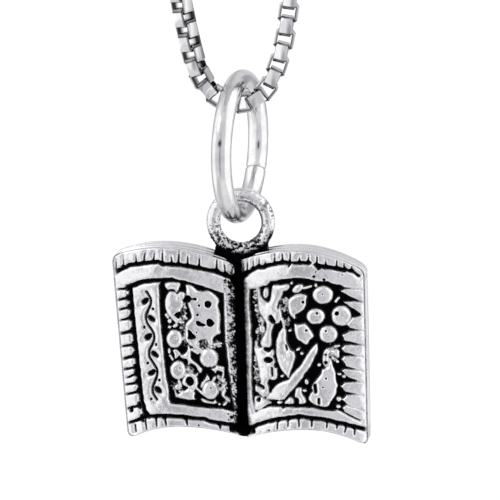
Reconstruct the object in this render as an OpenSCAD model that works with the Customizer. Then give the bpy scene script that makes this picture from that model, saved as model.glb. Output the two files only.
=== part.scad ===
// Open book charm on a jump ring and a fine box chain, hanging as it is stored.
// Millimetres. +Z is up, the open pages face -Y, and the origin is the point
// inside the top of the loop where a neck or a peg holds it up.

/* [Box chain] */
// Width of the chain
chain_w = 1.05; // [0.9:0.05:1.1]

/* [Clasp] */
// Length of the barrel clasp
clasp_length = 8; // [6:0.5:8]
// Diameter of the barrel clasp
clasp_d = 2; // [1.4:0.1:2]

/* [Jump ring] */
// Outer diameter of the ring
ring_outer_d = 7.7; // [7.2:0.1:8.4]
// Diameter of the ring's wire
ring_wire_d = 1.02; // [0.8:0.02:1.1]
// How far the ring's plane is turned from the book's own middle plane
ring_turn = 9; // [0:1:20]

/* [Eyelet] */
// Diameter of the eyelet's hole
eye_hole_d = 2.06; // [2:0.02:2.4]
// Thickness of the eyelet's round section
eye_section_d = 0.7; // [0.6:0.05:0.9]

/* [Book] */
// Height of each page between its two crests
page_h = 9.1; // [9:0.1:9.4]
// How far the crest of a page stands in front of the middle plane
page_front = 1.25; // [1:0.05:1.4]
// Radius of the curve of a page, seen from above
page_bow_r = 8; // [7:0.5:12]
// How far the cover lies behind the middle plane
cover_back = 0.85; // [0.7:0.05:1.1]
// Depth of the relief
relief = 0.25; // [0.1:0.05:0.4]
// Depth of the gutter's floor behind the middle plane
gutter_floor = 0.1; // [0:0.05:0.3]

/* [Hidden] */

// Room between the chain and the ring, and between the ring and the eyelet
chain_gap = 0.09;
eye_gap = 0.04;

// The route of the chain, [x, z], from the right end of the clasp down the right
// leg, through the jump ring and up the left leg to the clasp again
route = [
    [4, 1], [5.5, 0.9], [8.5, -0.3], [12, -2.1], [16, -4.9], [20, -9.2],
    [23, -14.7], [24.6, -22], [24.3, -30], [22.5, -44], [17.3, -86],
    [10.7, -140], [7, -170], [3.2, -200], [2.4, -206.3], [2.2, -207.7],
    [1.9, -208.9], [1.5, -209.9], [0.7, -210.8], [-0.1, -211], [-0.8, -210.9],
    [-1.5, -210.4], [-2, -209.7], [-2.3, -209], [-2.5, -208.2], [-2.9, -206.4],
    [-3.7, -200], [-7.3, -170], [-10.9, -140], [-17.4, -86], [-22.5, -44],
    [-24.3, -30], [-24.6, -22], [-23, -14.7], [-20, -9.2], [-16, -4.9],
    [-12, -2.1], [-8.5, -0.3], [-5.5, 0.9], [-4, 1]
];
route_low = [-0.1, -211];
rings_per_span = 2;
chain_sides = 8;

// Facets of round shapes, and steps along a curved edge
large_fn = 96;
middle_fn = 64;
small_fn = 32;
page_steps = 12;
band_steps = 8;
plate_steps = 5;

// The clasp's flat ends, as a share of the barrel's radius
clasp_r = clasp_d / 2;
clasp_end = clasp_r * 0.6;

// Heights, one piece hanging on the next
wire_r = ring_wire_d / 2;
ring_r = ring_outer_d / 2 - wire_r;
ring_x = -0.05;
ring_z = route_low.y + chain_w / 2 + chain_gap + wire_r - ring_r;
eye_r = (eye_hole_d + eye_section_d) / 2;
eye_z = ring_z - ring_r + wire_r + eye_gap - eye_hole_d / 2;

// The neck between the eyelet and the book, [x, z] from the eyelet's centre
neck_outline = [
    [-1.5, -2], [-1.45, -1.5], [-1.2, -1.1], [1.2, -1.1], [1.5, -1.5], [1.6, -2]
];
neck_thick = 0.8;

// Columns of a page's row, in millimetres from the eyelet's centre: where its
// inner and outer edges stand at the top and at the bottom, the crests of its
// top and bottom edges, and how fast an edge falls away from its crest, as the
// fall over the square of the distance, towards the gutter and away from it
IN_TOP = 0;
IN_BOTTOM = 1;
OUT_TOP = 2;
OUT_BOTTOM = 3;
TOP_X = 4;
TOP_IN = 5;
TOP_OUT = 6;
LOW_X = 7;
LOW_IN = 8;
LOW_OUT = 9;
left_page = [-0.2, 0, -6.45, -5.6, -3.8, 0.08, 0.085, -2.9, 0.06, 0.11];
right_page = [0.4, 0.55, 6.3, 6.5, 2.9, 0.08, 0.09, 3.5, 0.06, 0.105];
page_top = -1.2;
page_w = 6.2;
bow_x = 3.2;
bow_y = page_bow_r - page_front;

// The spine, and how far it stands out below the pages and stops under their tops
spine_x = 0.17;
spine_y = 0.2;
spine_r = 0.9;
spine_below = 0.4;
spine_under = 0.6;

// The frame round each page, as distances in from the edges
rim_top = 0.25;
rim_side = 0.15;
tooth_top = 0.75;
band_top = [0.9, 1.6];
panel_top = 1.8;
rim_low = 0.1;
tooth_low = 0.4;
band_low = [0.6, 1.15];
panel_low = 1.35;
// The gap on each side of a tooth, as a share of the tooth's pitch
tooth_gap = 0.12;
// How far the relief is drawn past the outline that cuts it, as a share of the page
past = 0.03;

// Columns of the rows of teeth: how many stand along the top, the side and the
// bottom, and how long those along the side are
TEETH_TOP = 0;
TEETH_SIDE = 1;
TEETH_LOW = 2;
SIDE_LENGTH = 3;
left_teeth = [12, 11, 9, 0.6];
right_teeth = [14, 9, 11, 1.1];

// Raised plates, as distances in from the outer edge
vine_plate = [2.15, 0.8];
flower_plate = [5.2, 2.45];
foliage_plate = [6.01, 4.96];

// Columns of the fruit on the right page: centre and radius
BOSS_X = 0;
BOSS_Z = 1;
BOSS_R = 2;
bosses = [
    [4.2, -3.9, 0.5],
    [5.1, -4.95, 0.5],
    [3.8, -4.95, 0.45],
    [4.5, -5.9, 0.45],
    [2.9, -4.4, 0.45],
    [3.2, -5.8, 0.45]
];

// Columns of the long leaf and the bud: centre, half the length and half the width
LEAF_X = 0;
LEAF_Z = 1;
LEAF_LONG = 2;
LEAF_WIDE = 3;
leaves = [
    [2.3, -6.8, 1.8, 0.4],
    [4.4, -8.3, 1.1, 0.65]
];

function mix(a, b, t) = a + (b - a) * t;
function fall(x, crest, inward, outward) =
    (x - crest) ^ 2 * (abs(x) < abs(crest) ? inward : outward);
function page_x(page, s, t) = mix(
    mix(page[IN_BOTTOM], page[IN_TOP], t),
    mix(page[OUT_BOTTOM], page[OUT_TOP], t),
    s);
function top_z(page, x) =
    page_top - fall(x, page[TOP_X], page[TOP_IN], page[TOP_OUT]);
function low_z(page, x) =
    page_top - page_h - fall(x, page[LOW_X], page[LOW_IN], page[LOW_OUT]);
// A point of a page: s runs from the gutter to the outer edge, t from the bottom up
function page_point(page, s, t) =
    let (x = page_x(page, s, t))
    [x, mix(low_z(page, x), top_z(page, x), t)];
function from_top(d) = 1 - d / page_h;
function from_low(d) = d / page_h;
function from_edge(d) = 1 - d / page_w;

// A patch of a page between two values of s and two of t, with curved long sides
module patch(page, s, t, steps) {
    low = [for (i = [0:steps]) page_point(page, mix(s[0], s[1], i / steps), t[0])];
    high = [for (i = [0:steps]) page_point(page, mix(s[1], s[0], i / steps), t[1])];
    polygon(concat(low, high));
}

// A flat shape drawn in x and z, made solid from a place behind the middle
// plane to past the front of the book
module through_book(back) {
    translate([0, back, 0])
        rotate([90, 0, 0])
            linear_extrude(back + 2 * page_front)
                children();
}

// The space behind the curved front of a page, sunk by a depth
module behind_front(side, depth) {
    translate([side * bow_x, bow_y, -2 * page_h])
        cylinder(r = page_bow_r - depth, h = 3 * page_h, $fn = large_fn);
}

// One edge of a comb: from its root to its tip and back, once for each tooth
function comb_edge(count, root, tip) = [
    for (i = [0:count - 1])
        let (from = (i + tooth_gap) / count)
        let (to = (i + 1 - tooth_gap) / count)
        each [[from, root], [from, tip], [to, tip], [to, root]]
];

// A row of teeth along the top or the bottom edge, with the rim that joins them
module comb(page, count, root, tip, edge) {
    teeth = [for (p = comb_edge(count, root, tip)) page_point(page, p[0], p[1])];
    beyond = edge > 0 ? edge + past : edge - past;
    rim = [
        page_point(page, 1 + past, root),
        page_point(page, 1 + past, edge),
        page_point(page, 0.5, beyond),
        page_point(page, -past, edge),
        page_point(page, -past, root)
    ];
    polygon(concat(teeth, rim));
}

// A row of teeth up the outer side of a page
module side_comb(page, count, length) {
    low = from_low(panel_low);
    high = from_top(panel_top);
    root = from_edge(rim_side);
    teeth = [
        for (p = comb_edge(count, root, from_edge(length)))
            page_point(page, p[1], mix(low, high, p[0]))
    ];
    rim = [
        page_point(page, root, high),
        page_point(page, 1 + past, high),
        page_point(page, 1 + past, low),
        page_point(page, root, low)
    ];
    polygon(concat(teeth, rim));
}

// A raised band across the whole page
module band(page, t) {
    patch(page, [-past, 1 + past], t, band_steps);
}

// A raised plate between the top and the bottom bands
module plate(page, span) {
    s = [from_edge(span[0]), from_edge(span[1])];
    patch(page, s, [from_low(panel_low), from_top(panel_top)], plate_steps);
}

module frame_relief(page, teeth) {
    comb(page, teeth[TEETH_TOP], from_top(rim_top), from_top(tooth_top), 1 + past);
    comb(page, teeth[TEETH_LOW], from_low(rim_low), from_low(tooth_low), -past);
    side_comb(page, teeth[TEETH_SIDE], teeth[SIDE_LENGTH]);
    band(page, [from_top(band_top[1]), from_top(band_top[0])]);
    band(page, [from_low(band_low[0]), from_low(band_low[1])]);
}

module left_relief() {
    frame_relief(left_page, left_teeth);
    plate(left_page, vine_plate);
    plate(left_page, flower_plate);
}

module right_relief() {
    frame_relief(right_page, right_teeth);
    plate(right_page, foliage_plate);
    for (row = bosses)
        translate([row[BOSS_X], row[BOSS_Z]])
            circle(r = row[BOSS_R], $fn = small_fn);
    for (row = leaves)
        translate([row[LEAF_X], row[LEAF_Z]])
            leaf(row[LEAF_LONG], row[LEAF_WIDE]);
}

// A pointed leaf: two arcs that meet at its ends
module leaf(long, wide) {
    arc_r = (long ^ 2 + wide ^ 2) / (2 * wide);
    intersection_for (side = [-1, 1])
        translate([side * (arc_r - wide), 0])
            circle(r = arc_r, $fn = middle_fn);
}

// One page: its sunk ground and the relief that stands on it, cut to the page's outline
module page_solid(page, side) {
    intersection() {
        through_book(cover_back)
            patch(page, [0, 1], [0, 1], page_steps);
        union() {
            behind_front(side, relief);
            intersection() {
                through_book(0)
                    children();
                behind_front(side, 0);
            }
        }
    }
}

// The rounded spine, whose flat front is the floor of the gutter
module spine() {
    low = page_top - page_h - spine_below;
    height = page_top - spine_under - low;
    intersection() {
        translate([spine_x, spine_y, low])
            cylinder(r = spine_r, h = height, $fn = small_fn);
        translate([spine_x - spine_r, gutter_floor, low - spine_r])
            cube([2 * spine_r, 2 * spine_r, height + 2 * spine_r]);
    }
}

module eyelet() {
    rotate([90, 0, 0])
        rotate_extrude($fn = middle_fn)
            translate([eye_r, 0])
                circle(d = eye_section_d, $fn = small_fn);
    translate([0, neck_thick / 2, 0])
        rotate([90, 0, 0])
            linear_extrude(neck_thick)
                polygon(neck_outline);
}

module book_charm() {
    color("silver")
        translate([0, 0, eye_z]) {
            page_solid(left_page, -1)
                left_relief();
            page_solid(right_page, 1)
                right_relief();
            spine();
            eyelet();
        }
}

module jump_ring() {
    color("gainsboro")
        translate([ring_x, 0, ring_z])
            rotate([0, 90, -ring_turn])
                rotate_extrude($fn = large_fn)
                    translate([ring_r, 0])
                        circle(r = wire_r, $fn = small_fn);
}

// The chain's line: a smooth curve through the points of the route. It leaves each
// point along the mean of its two chords, the nearer one more, and lies along x
// where it enters the clasp
function chord(i) = route[i + 1] - route[i];
function unit(v) = v / norm(v);
function through(i) =
    unit(chord(i - 1)) * norm(chord(i)) + unit(chord(i)) * norm(chord(i - 1));
function heading(i) = i == 0 || i == len(route) - 1 ? [1, 0] : unit(through(i));
function leaving(t) = (1 + 2 * t) * (1 - t) ^ 2;
function pull(t) = t * (1 - t) ^ 2;
function on_span(i, t) =
    let (reach = norm(chord(i)))
    route[i] * leaving(t) + route[i + 1] * leaving(1 - t)
    + reach * (heading(i) * pull(t) - heading(i + 1) * pull(1 - t));
function line_point(k) =
    let (i = min(floor(k / rings_per_span), len(route) - 2))
    on_span(i, k / rings_per_span - i);

module box_chain() {
    last = (len(route) - 1) * rings_per_span;
    line = [for (k = [0:last]) line_point(k)];
    corner_r = chain_w / 2 / cos(180 / chain_sides);
    along = [
        for (k = [0:last])
            k == 0 || k == last ? [1, 0] : unit(line[k + 1] - line[k - 1])
    ];
    points = [
        for (k = [0:last])
            for (j = [0:chain_sides - 1])
                let (a = (j + 0.5) * 360 / chain_sides)
                let (out = corner_r * cos(a))
                [
                    line[k].x - along[k].y * out,
                    corner_r * sin(a),
                    line[k].y + along[k].x * out
                ]
    ];
    walls = [
        for (k = [0:last - 1])
            for (j = [0:chain_sides - 1])
                let (a = k * chain_sides + j)
                let (b = k * chain_sides + (j + 1) % chain_sides)
                [a, b, b + chain_sides, a + chain_sides]
    ];
    first_end = [for (j = [chain_sides - 1:-1:0]) j];
    last_end = [for (j = [0:chain_sides - 1]) last * chain_sides + j];
    color("silver")
        polyhedron(points, concat(walls, [first_end, last_end]));
}

module clasp() {
    half = [
        [0, 0],
        [clasp_end, 0],
        [clasp_r, clasp_end],
        [clasp_r, clasp_length - clasp_end],
        [clasp_end, clasp_length],
        [0, clasp_length]
    ];
    color("gainsboro")
        translate([-clasp_length / 2, 0, route[0].y])
            rotate([0, 90, 0])
                rotate_extrude($fn = middle_fn)
                    polygon(half);
}

book_charm();
jump_ring();
box_chain();
clasp();
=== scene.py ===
"""The looks of an open book charm on its jump ring and box chain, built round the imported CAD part."""

import math

import bmesh
import bpy
import numpy as np
from mathutils import Matrix, Vector


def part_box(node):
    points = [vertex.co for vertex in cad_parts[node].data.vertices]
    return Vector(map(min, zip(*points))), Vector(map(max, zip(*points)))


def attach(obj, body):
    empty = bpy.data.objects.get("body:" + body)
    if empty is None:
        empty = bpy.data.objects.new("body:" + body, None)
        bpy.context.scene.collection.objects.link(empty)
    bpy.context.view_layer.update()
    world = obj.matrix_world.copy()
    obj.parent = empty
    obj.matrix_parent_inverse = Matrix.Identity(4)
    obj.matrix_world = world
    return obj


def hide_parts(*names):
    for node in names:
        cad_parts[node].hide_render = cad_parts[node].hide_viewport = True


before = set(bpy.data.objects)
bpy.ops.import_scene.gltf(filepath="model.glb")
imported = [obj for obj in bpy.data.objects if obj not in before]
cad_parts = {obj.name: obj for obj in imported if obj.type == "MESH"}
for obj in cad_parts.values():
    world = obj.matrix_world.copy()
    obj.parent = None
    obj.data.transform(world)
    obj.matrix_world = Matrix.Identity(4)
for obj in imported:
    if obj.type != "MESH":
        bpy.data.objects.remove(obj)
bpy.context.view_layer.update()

# Lengths are in millimetres until a mesh is made
MM = 0.001

# Driving sizes, the same as in the part's source
EYE_SECTION = 0.7
EYE_R = 1.38
PAGE_H = 9.1
PAGE_TOP = -1.2
BOW_R = 8.0
BOW_X = 3.2
BOW_Y = 6.75
BACK_Y = 0.85
FLOOR_Y = 0.1
RELIEF = 0.25
SPINE_X = 0.17
SPINE_Y = 0.2
SPINE_R = 0.9
WIRE_R = 0.51
RING_TURN = math.radians(9)

# Places taken from the frame
book_low, book_high = (np.array(corner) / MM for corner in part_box("book_charm"))
ring_low, ring_high = (np.array(corner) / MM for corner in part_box("jump_ring"))
EYE = np.array([0.0, 0.0, book_high[2] - EYE_R - EYE_SECTION / 2])
RING = (ring_low + ring_high) / 2
RING_R = (ring_high[2] - ring_low[2]) / 2 - WIRE_R

# The photograph's view: the camera stands to the right of the pages' front and above it
AZIMUTH = math.radians(7)
ELEVATION = math.radians(11)
VIEW_RIGHT = np.array([math.cos(AZIMUTH), math.sin(AZIMUTH), 0.0])
VIEW_BACK = np.array([
    math.sin(AZIMUTH) * math.cos(ELEVATION),
    -math.cos(AZIMUTH) * math.cos(ELEVATION),
    math.sin(ELEVATION),
])
VIEW_UP = np.cross(VIEW_BACK, VIEW_RIGHT)


def mix(a, b, t):
    return a + (b - a) * t


def ease(x):
    """Rises smoothly from 0 to 1 as x does."""
    x = np.clip(x, 0, 1)
    return x * x * (3 - 2 * x)


def dome(x):
    """Rises steeply from 0 and rounds off at 1, as the edge of a cast shape does."""
    return np.sqrt(1 - (1 - np.clip(x, 0, 1)) ** 2)


def shoulder(x):
    """A steep edge that goes over into a long soft shoulder, which is what catches the light."""
    return 0.72 * dome(x) + 0.28 * dome(x / 2.6)


def lumps(a, b, cell, seed):
    """Smooth noise from -1 to 1 over two coordinates, whose lumps are one cell across."""
    side = 97
    lattice = np.random.default_rng(seed).uniform(-1, 1, (side, side))
    a, b = a / cell, b / cell
    i, j = np.floor(a).astype(int), np.floor(b).astype(int)
    p, q = ease(a - i), ease(b - j)
    low = mix(lattice[i % side, j % side], lattice[(i + 1) % side, j % side], p)
    high = mix(lattice[i % side, (j + 1) % side], lattice[(i + 1) % side, (j + 1) % side], p)
    return mix(low, high, q)


# Meshes

# Points closer than this, in metres, are one
SAME_PLACE = 1e-8


def outward_mesh(name, vertices, faces, values, merge=False):
    """A mesh from points in millimetres, with its named values at each point and its faces turned outwards."""
    mesh = bpy.data.meshes.new(name)
    mesh.from_pydata((np.asarray(vertices) * MM).tolist(), [], faces)
    for key, value in values.items():
        mesh.attributes.new(key, "FLOAT", "POINT").data.foreach_set("value", np.asarray(value, np.float32))
    shell = bmesh.new()
    shell.from_mesh(mesh)
    if merge:
        bmesh.ops.remove_doubles(shell, verts=shell.verts, dist=SAME_PLACE)
    bmesh.ops.recalc_face_normals(shell, faces=shell.faces)
    shell.to_mesh(mesh)
    shell.free()
    return mesh


def finish_piece(name, mesh, body, slot, node, sharp=50):
    """Makes a mesh a piece: shades it smooth but for edges over so many degrees, gives it its finish, hangs it
    on the body that it rides on, and hides the part that it stands for."""
    obj = bpy.data.objects.new(name, mesh)
    bpy.context.scene.collection.objects.link(obj)
    mesh.shade_smooth()
    mesh.set_sharp_from_angle(angle=math.radians(sharp))
    mesh.materials.clear()
    mesh.materials.append(FINISHES[slot])
    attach(obj, body)
    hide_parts(node)


def skin(rings, capped=True):
    """The points and faces of a skin that joins rings of equal length, one to the next."""
    count = len(rings[0])
    vertices = np.concatenate(rings)
    faces = []
    for k in range(len(rings) - 1):
        for j in range(count):
            a, b = k * count + j, k * count + (j + 1) % count
            faces.append((a, b, b + count, a + count))
    if capped:
        faces.append(tuple(range(count))[::-1])
        faces.append(tuple(range((len(rings) - 1) * count, len(rings) * count)))
    return vertices, faces


# Finishes


def linear(code):
    """A linear colour from an sRGB hex value."""
    parts = [int(code[i:i + 2], 16) / 255 for i in (1, 3, 5)]
    return [c / 12.92 if c <= 0.04045 else ((c + 0.055) / 1.055) ** 2.4 for c in parts] + [1.0]


def add(tree, kind, settings=None, **links):
    """Adds a node with its settings. Each link gives a value or a socket to an input, which it names with _ for
    a space, or by at and its number."""
    node = tree.nodes.new(kind)
    for key, value in (settings or {}).items():
        setattr(node, key, value)
    for key, value in links.items():
        socket = node.inputs[int(key[2:])] if key.startswith("at") else node.inputs[key.replace("_", " ")]
        if isinstance(value, bpy.types.NodeSocket):
            tree.links.new(value, socket)
        else:
            socket.default_value = value
    return node


def new_finish(name):
    material = bpy.data.materials.new(name)
    material.use_nodes = True
    tree = material.node_tree
    tree.nodes.clear()
    return material, tree


def millimetres(tree):
    """The piece's own coordinates in millimetres."""
    place = add(tree, "ShaderNodeTexCoord")
    return add(tree, "ShaderNodeVectorMath", {"operation": "SCALE"}, at0=place.outputs["Object"], at3=1 / MM)


def clouded_silver(tree, place, cells, detail, rough, spread, pale, dull, black):
    """The colour of silver that drifts from pale to dull in clouds, over this spread of the noise, and goes
    over into black where soot lies and where shade is painted. Also that soot and painted shade."""
    clouds = add(tree, "ShaderNodeTexNoise", None, Vector=place, Scale=cells, Detail=detail, Roughness=rough)
    drift = add(tree, "ShaderNodeMapRange", None, Value=clouds.outputs["Fac"], at1=spread[0], at2=spread[1])
    metal = add(tree, "ShaderNodeMix", {"data_type": "RGBA"}, at0=drift.outputs[0],
                at6=linear(pale), at7=linear(dull))
    soot = add(tree, "ShaderNodeAttribute", {"attribute_name": "soot"}).outputs["Fac"]
    colour = add(tree, "ShaderNodeMix", {"data_type": "RGBA"}, at0=soot,
                 at6=metal.outputs[2], at7=linear(black))
    return colour.outputs[2], soot


def close_finish(material, tree, **links):
    shader = add(tree, "ShaderNodeBsdfPrincipled", None, Metallic=1.0, **links)
    add(tree, "ShaderNodeOutputMaterial", None, Surface=shader.outputs[0])
    return material


# How many cells of each pattern go to a millimetre. The clouds of tarnish are 0.6 mm across on the book, 0.9
# mm on the ring and 1.1 mm on the chain. The casting's grain is drawn 0.11 mm across and the buffing marks
# 0.07 mm, coarser than the real ones, which wouldn't show
BOOK_CLOUDS = 1.6
RING_CLOUDS = 1.1
CHAIN_CLOUDS = 0.9
GRAIN = 9.0
BUFFING = 14.0
# Height of the grain and of the buffing marks, in metres
GRAIN_HIGH = 0.00003
BUFFING_HIGH = 0.00002


def oxidised_sterling():
    """Cast sterling silver, dipped in liver of sulphur and tumbled: the eye sees pale, faintly mottled flats of
    a neutral grey, white where an edge turns to the light, and dead black silver sulphide in every recess."""
    material, tree = new_finish("oxidised_sterling_silver")
    place = millimetres(tree).outputs[0]
    colour, soot = clouded_silver(tree, place, BOOK_CLOUDS, 4.0, 0.6, (0.35, 0.65),
                                  "#FCFBFB", "#EFEFF2", "#08080A")
    grain = add(tree, "ShaderNodeTexNoise", None, Vector=place, Scale=GRAIN, Detail=3.0, Roughness=0.6)
    shine = add(tree, "ShaderNodeMapRange", None, Value=grain.outputs["Fac"],
                at1=0.3, at2=0.7, at3=0.12, at4=0.24)
    rough = add(tree, "ShaderNodeMix", {"data_type": "FLOAT"}, at0=soot, at2=shine.outputs[0], at3=0.55)
    bump = add(tree, "ShaderNodeBump", None, Strength=0.4, Distance=GRAIN_HIGH, Height=grain.outputs["Fac"])
    return close_finish(material, tree, Base_Color=colour, Roughness=rough.outputs[0], Normal=bump.outputs[0])


def polished_sterling():
    """Drawn sterling wire, buffed bright: the eye sees a near mirror, broken by fine rubbing marks
    and a grey bloom where it has been handled."""
    material, tree = new_finish("polished_sterling_silver")
    place = millimetres(tree).outputs[0]
    colour, _ = clouded_silver(tree, place, RING_CLOUDS, 5.0, 0.65, (0.4, 0.7),
                               "#FBFAFA", "#E3E2E4", "#2A2A2C")
    marks = add(tree, "ShaderNodeTexNoise", None, Vector=place, Scale=BUFFING, Detail=2.0, Roughness=0.5)
    rough = add(tree, "ShaderNodeMapRange", None, Value=marks.outputs["Fac"],
                at1=0.3, at2=0.7, at3=0.08, at4=0.2)
    bump = add(tree, "ShaderNodeBump", None, Strength=0.15, Distance=BUFFING_HIGH, Height=marks.outputs["Fac"])
    return close_finish(material, tree, Base_Color=colour, Roughness=rough.outputs[0], Normal=bump.outputs[0])


def bright_chain_silver():
    """Rolled sterling strip, folded into links and tumbled bright: the eye sees small flat mirrors,
    each of its own grey, with painted shade darkening the corners and insides where the links meet."""
    material, tree = new_finish("bright_chain_silver")
    place = millimetres(tree).outputs[0]
    colour, _ = clouded_silver(tree, place, CHAIN_CLOUDS, 2.0, 0.5, (0.35, 0.65),
                               "#FAF9F9", "#E0E0E2", "#2A2A2C")
    return close_finish(material, tree, Base_Color=colour, Roughness=0.14)


FINISHES = {
    "oxidised_silver": oxidised_sterling(),
    "polished_silver": polished_sterling(),
    "chain_silver": bright_chain_silver(),
}

# Charts of the relief

# How far the metal of a raised shape spreads past its outline, as a casting's does
FLESH = 0.03
# Radius of the corners that the teeth along the pages' edges turn to the grooves, and how far short of the
# groove's middle line they lie
TOOTH_CORNER = 0.11
TOOTH_STOP = 0.08
# How far the outlines wander, as a hand-cut model's do, and over what length
WANDER = 0.016
WANDER_CELL = 0.22
# Widths over which the metal is rounded beside a plain cut, between teeth, at a hole in a shape, and at a pit
CUT_EDGE = 0.16
TOOTH_EDGE = 0.09
HOLE_EDGE = 0.05
PIT_EDGE = 0.04
# The same for a raised shape and for a thin sprig
LIFT_EDGE = 0.22
SPRIG_EDGE = 0.06
# Crusts of rough metal: the sizes of their coarse and fine lumps, how far the lumps push the edge out, the
# crust's height, which is a share of the relief's, and how far the lumps raise and lower it
CRUST_CELLS = (0.14, 0.07)
CRUST_PUSH = 0.12
CRUST_EDGE = 0.08
CRUST_HIGH = 0.27
CRUST_ROUGH = 0.3
# Points on the curve from one point of an outline to the next
CURVE_STEPS = 4
# Further than any distance on a page
FAR = 99.0


def smooth_loop(points):
    """A closed curve through a few points."""
    p = np.asarray(points, float)
    before, after, beyond = np.roll(p, 1, 0), np.roll(p, -1, 0), np.roll(p, -2, 0)
    curve = []
    for t in np.linspace(0, 1, CURVE_STEPS, endpoint=False):
        curve.append(0.5 * (2 * p + (after - before) * t + (2 * before - 5 * p + 4 * after - beyond) * t ** 2
                            + (3 * p - before - 3 * after + beyond) * t ** 3))
    return np.stack(curve, 1).reshape(-1, 2)


class Relief:
    """A page's surface as the camera sees it, in millimetres right of and above the eyelet's centre:
    its level is 0 on the blackened ground and 1 on the polished flats."""

    def __init__(self, u, v, origin, seed):
        self.u = u + WANDER * lumps(u, v, WANDER_CELL, seed)
        self.v = v + WANDER * lumps(u, v, WANDER_CELL, seed + 1)
        self.origin = origin
        self.level = np.ones_like(u)

    def placed(self, points):
        """Chart points, which run right and down from the chart's corner."""
        p = np.asarray(points, float).reshape(-1, 2)
        return self.origin + p * [1, -1]

    def from_line(self, points):
        """Distance from an open line."""
        p = self.placed(points)
        near = np.full_like(self.u, FAR)
        for a, b in zip(p[:-1], p[1:]):
            along = b - a
            t = np.clip(self.share(a, along), 0, 1)
            near = np.minimum(near, np.hypot(self.u - a[0] - t * along[0], self.v - a[1] - t * along[1]))
        return near

    def share(self, start, along):
        """How far along a straight stretch each place lies, from 0 at its start to 1 at its end."""
        return ((self.u - start[0]) * along[0] + (self.v - start[1]) * along[1]) / (along @ along)

    def within(self, points, curved=True):
        """Distance in from a closed outline, curved or straight from point to point, positive inside it."""
        loop = smooth_loop(points) if curved else np.asarray(points, float)
        edge = self.from_line(np.concatenate([loop, loop[:1]]))
        p = self.placed(loop)
        odd = np.zeros_like(self.u, bool)
        for a, b in zip(p, np.roll(p, -1, 0)):
            if a[1] != b[1]:
                crosses = (a[1] > self.v) != (b[1] > self.v)
                odd ^= crosses & (self.u < a[0] + (b[0] - a[0]) * (self.v - a[1]) / (b[1] - a[1]))
        return np.where(odd, edge, -edge)

    def oval(self, x, z, across, up, tilt):
        """Distance in from an oval, nearly."""
        centre = self.placed([x, z])[0]
        c, s = math.cos(math.radians(tilt)), math.sin(math.radians(tilt))
        a, b = self.u - centre[0], self.v - centre[1]
        return (1 - np.hypot((a * c + b * s) / across, (b * c - a * s) / up)) * min(across, up)

    def cut(self, inside, edge=CUT_EDGE):
        """Sinks what is inside to the ground, and rounds the metal's edge beside it."""
        self.level = np.minimum(self.level, shoulder((FLESH / 2 - inside) / edge))

    def lift(self, inside, edge=LIFT_EDGE, top=1.0):
        """Raises what is inside from the ground, to a share of the relief, rounded off over an edge's width."""
        self.level = np.maximum(self.level, top * shoulder((inside + FLESH) / edge))

    def notches(self, thin, thick, lines):
        """Wedge-shaped cuts between teeth, each along its own line, from thin at the line's start to thick at
        its end, where it meets a groove and the teeth beside it have round corners."""
        for line in lines:
            a, b = self.placed(line)
            t = self.share(a, b - a)
            left = (1 - t) * np.linalg.norm(b - a)
            # Past the line's end, in the groove, the cut closes at once
            flare = TOOTH_CORNER * (1 - dome((left - TOOTH_STOP) / TOOTH_CORNER)) + 5 * np.minimum(left, 0)
            self.cut(mix(thin, thick, np.clip(t, 0, 1)) / 2 + flare - self.from_line(line), TOOTH_EDGE)

    def groove(self, width, *lines):
        for line in lines:
            self.cut(width / 2 - self.from_line(line))

    def ridge(self, width, *lines):
        for line in lines:
            self.lift(width / 2 - self.from_line(line), width / 2, 0.9)

    def crust(self, seed, *outlines):
        """Rough metal that fills an outline unevenly, so low that it keeps some of the soot."""
        coarse, fine = (lumps(self.u, self.v, cell, seed + k) for k, cell in enumerate(CRUST_CELLS))
        uneven = 0.5 * coarse + 0.5 * fine
        for points in outlines:
            self.lift(self.within(points) + CRUST_PUSH * uneven, CRUST_EDGE, CRUST_HIGH + CRUST_ROUGH * uneven)

    def pits(self, rows):
        """Each row is a pit's place and its radius."""
        for x, z, r in rows:
            centre = self.placed([x, z])[0]
            self.cut(r - np.hypot(self.u - centre[0], self.v - centre[1]), PIT_EDGE)

    def blobs(self, rows, top):
        """Each row is a raised oval, round from rim to middle: its place, its radii and its tilt."""
        for row in rows:
            self.lift(self.oval(*row), min(row[2:4]), top)


# Each page: where its inner and outer edges stand at the top and at the bottom, the crests of its top and
# bottom edges, and how fast an edge falls away from its crest, towards the gutter and away from it
LEFT = {
    "side": -1, "in_top": -0.2, "in_low": 0, "out_top": -6.45, "out_low": -5.6,
    "top_x": -3.8, "top_in": 0.067, "top_out": 0.085, "low_x": -2.9, "low_in": 0.06, "low_out": 0.11,
}
RIGHT = {
    "side": 1, "in_top": 0.1, "in_low": 0.42, "out_top": 6.3, "out_low": 6.5,
    "top_x": 2.9, "top_in": 0.08, "top_out": 0.09, "low_x": 3.5, "low_in": 0.06, "low_out": 0.105,
}

# Cells of a page's front, which the back divides by COARSE
COLUMNS = 192
ROWS = 288
COARSE = 6
# Shares of the way across a page from the gutter, and of the way up it
ACROSS = np.linspace(0, 1, COLUMNS + 1)[:, None]
UPWARDS = np.linspace(0, 1, ROWS + 1)[None, :]
# Radii of the outer corners, and the plain margin that the relief leaves along the outer edges
CORNER_LOW = 0.45
CORNER_TOP = 0.3
MARGIN = 0.1
# The margin keeps its soot this near the gutter and above this height, as shares of the page
SOOTY_WITHIN = 0.06
SOOTY_ABOVE = 0.5
# How far the polished flats lie behind the bow, and the sizes and depths of the hollows that polishing left
FLAT_DEPTH = 0.02
HOLLOWS = [(0.5, 0.012, 5), (0.16, 0.006, 6)]
# How deep and over what width the front is rounded all round its rim, and more softly along its outer side
RIM_DEPTH = 0.09
RIM_WIDTH = 0.13
SIDE_DEPTH = 0.07
SIDE_WIDTH = 0.42
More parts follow.
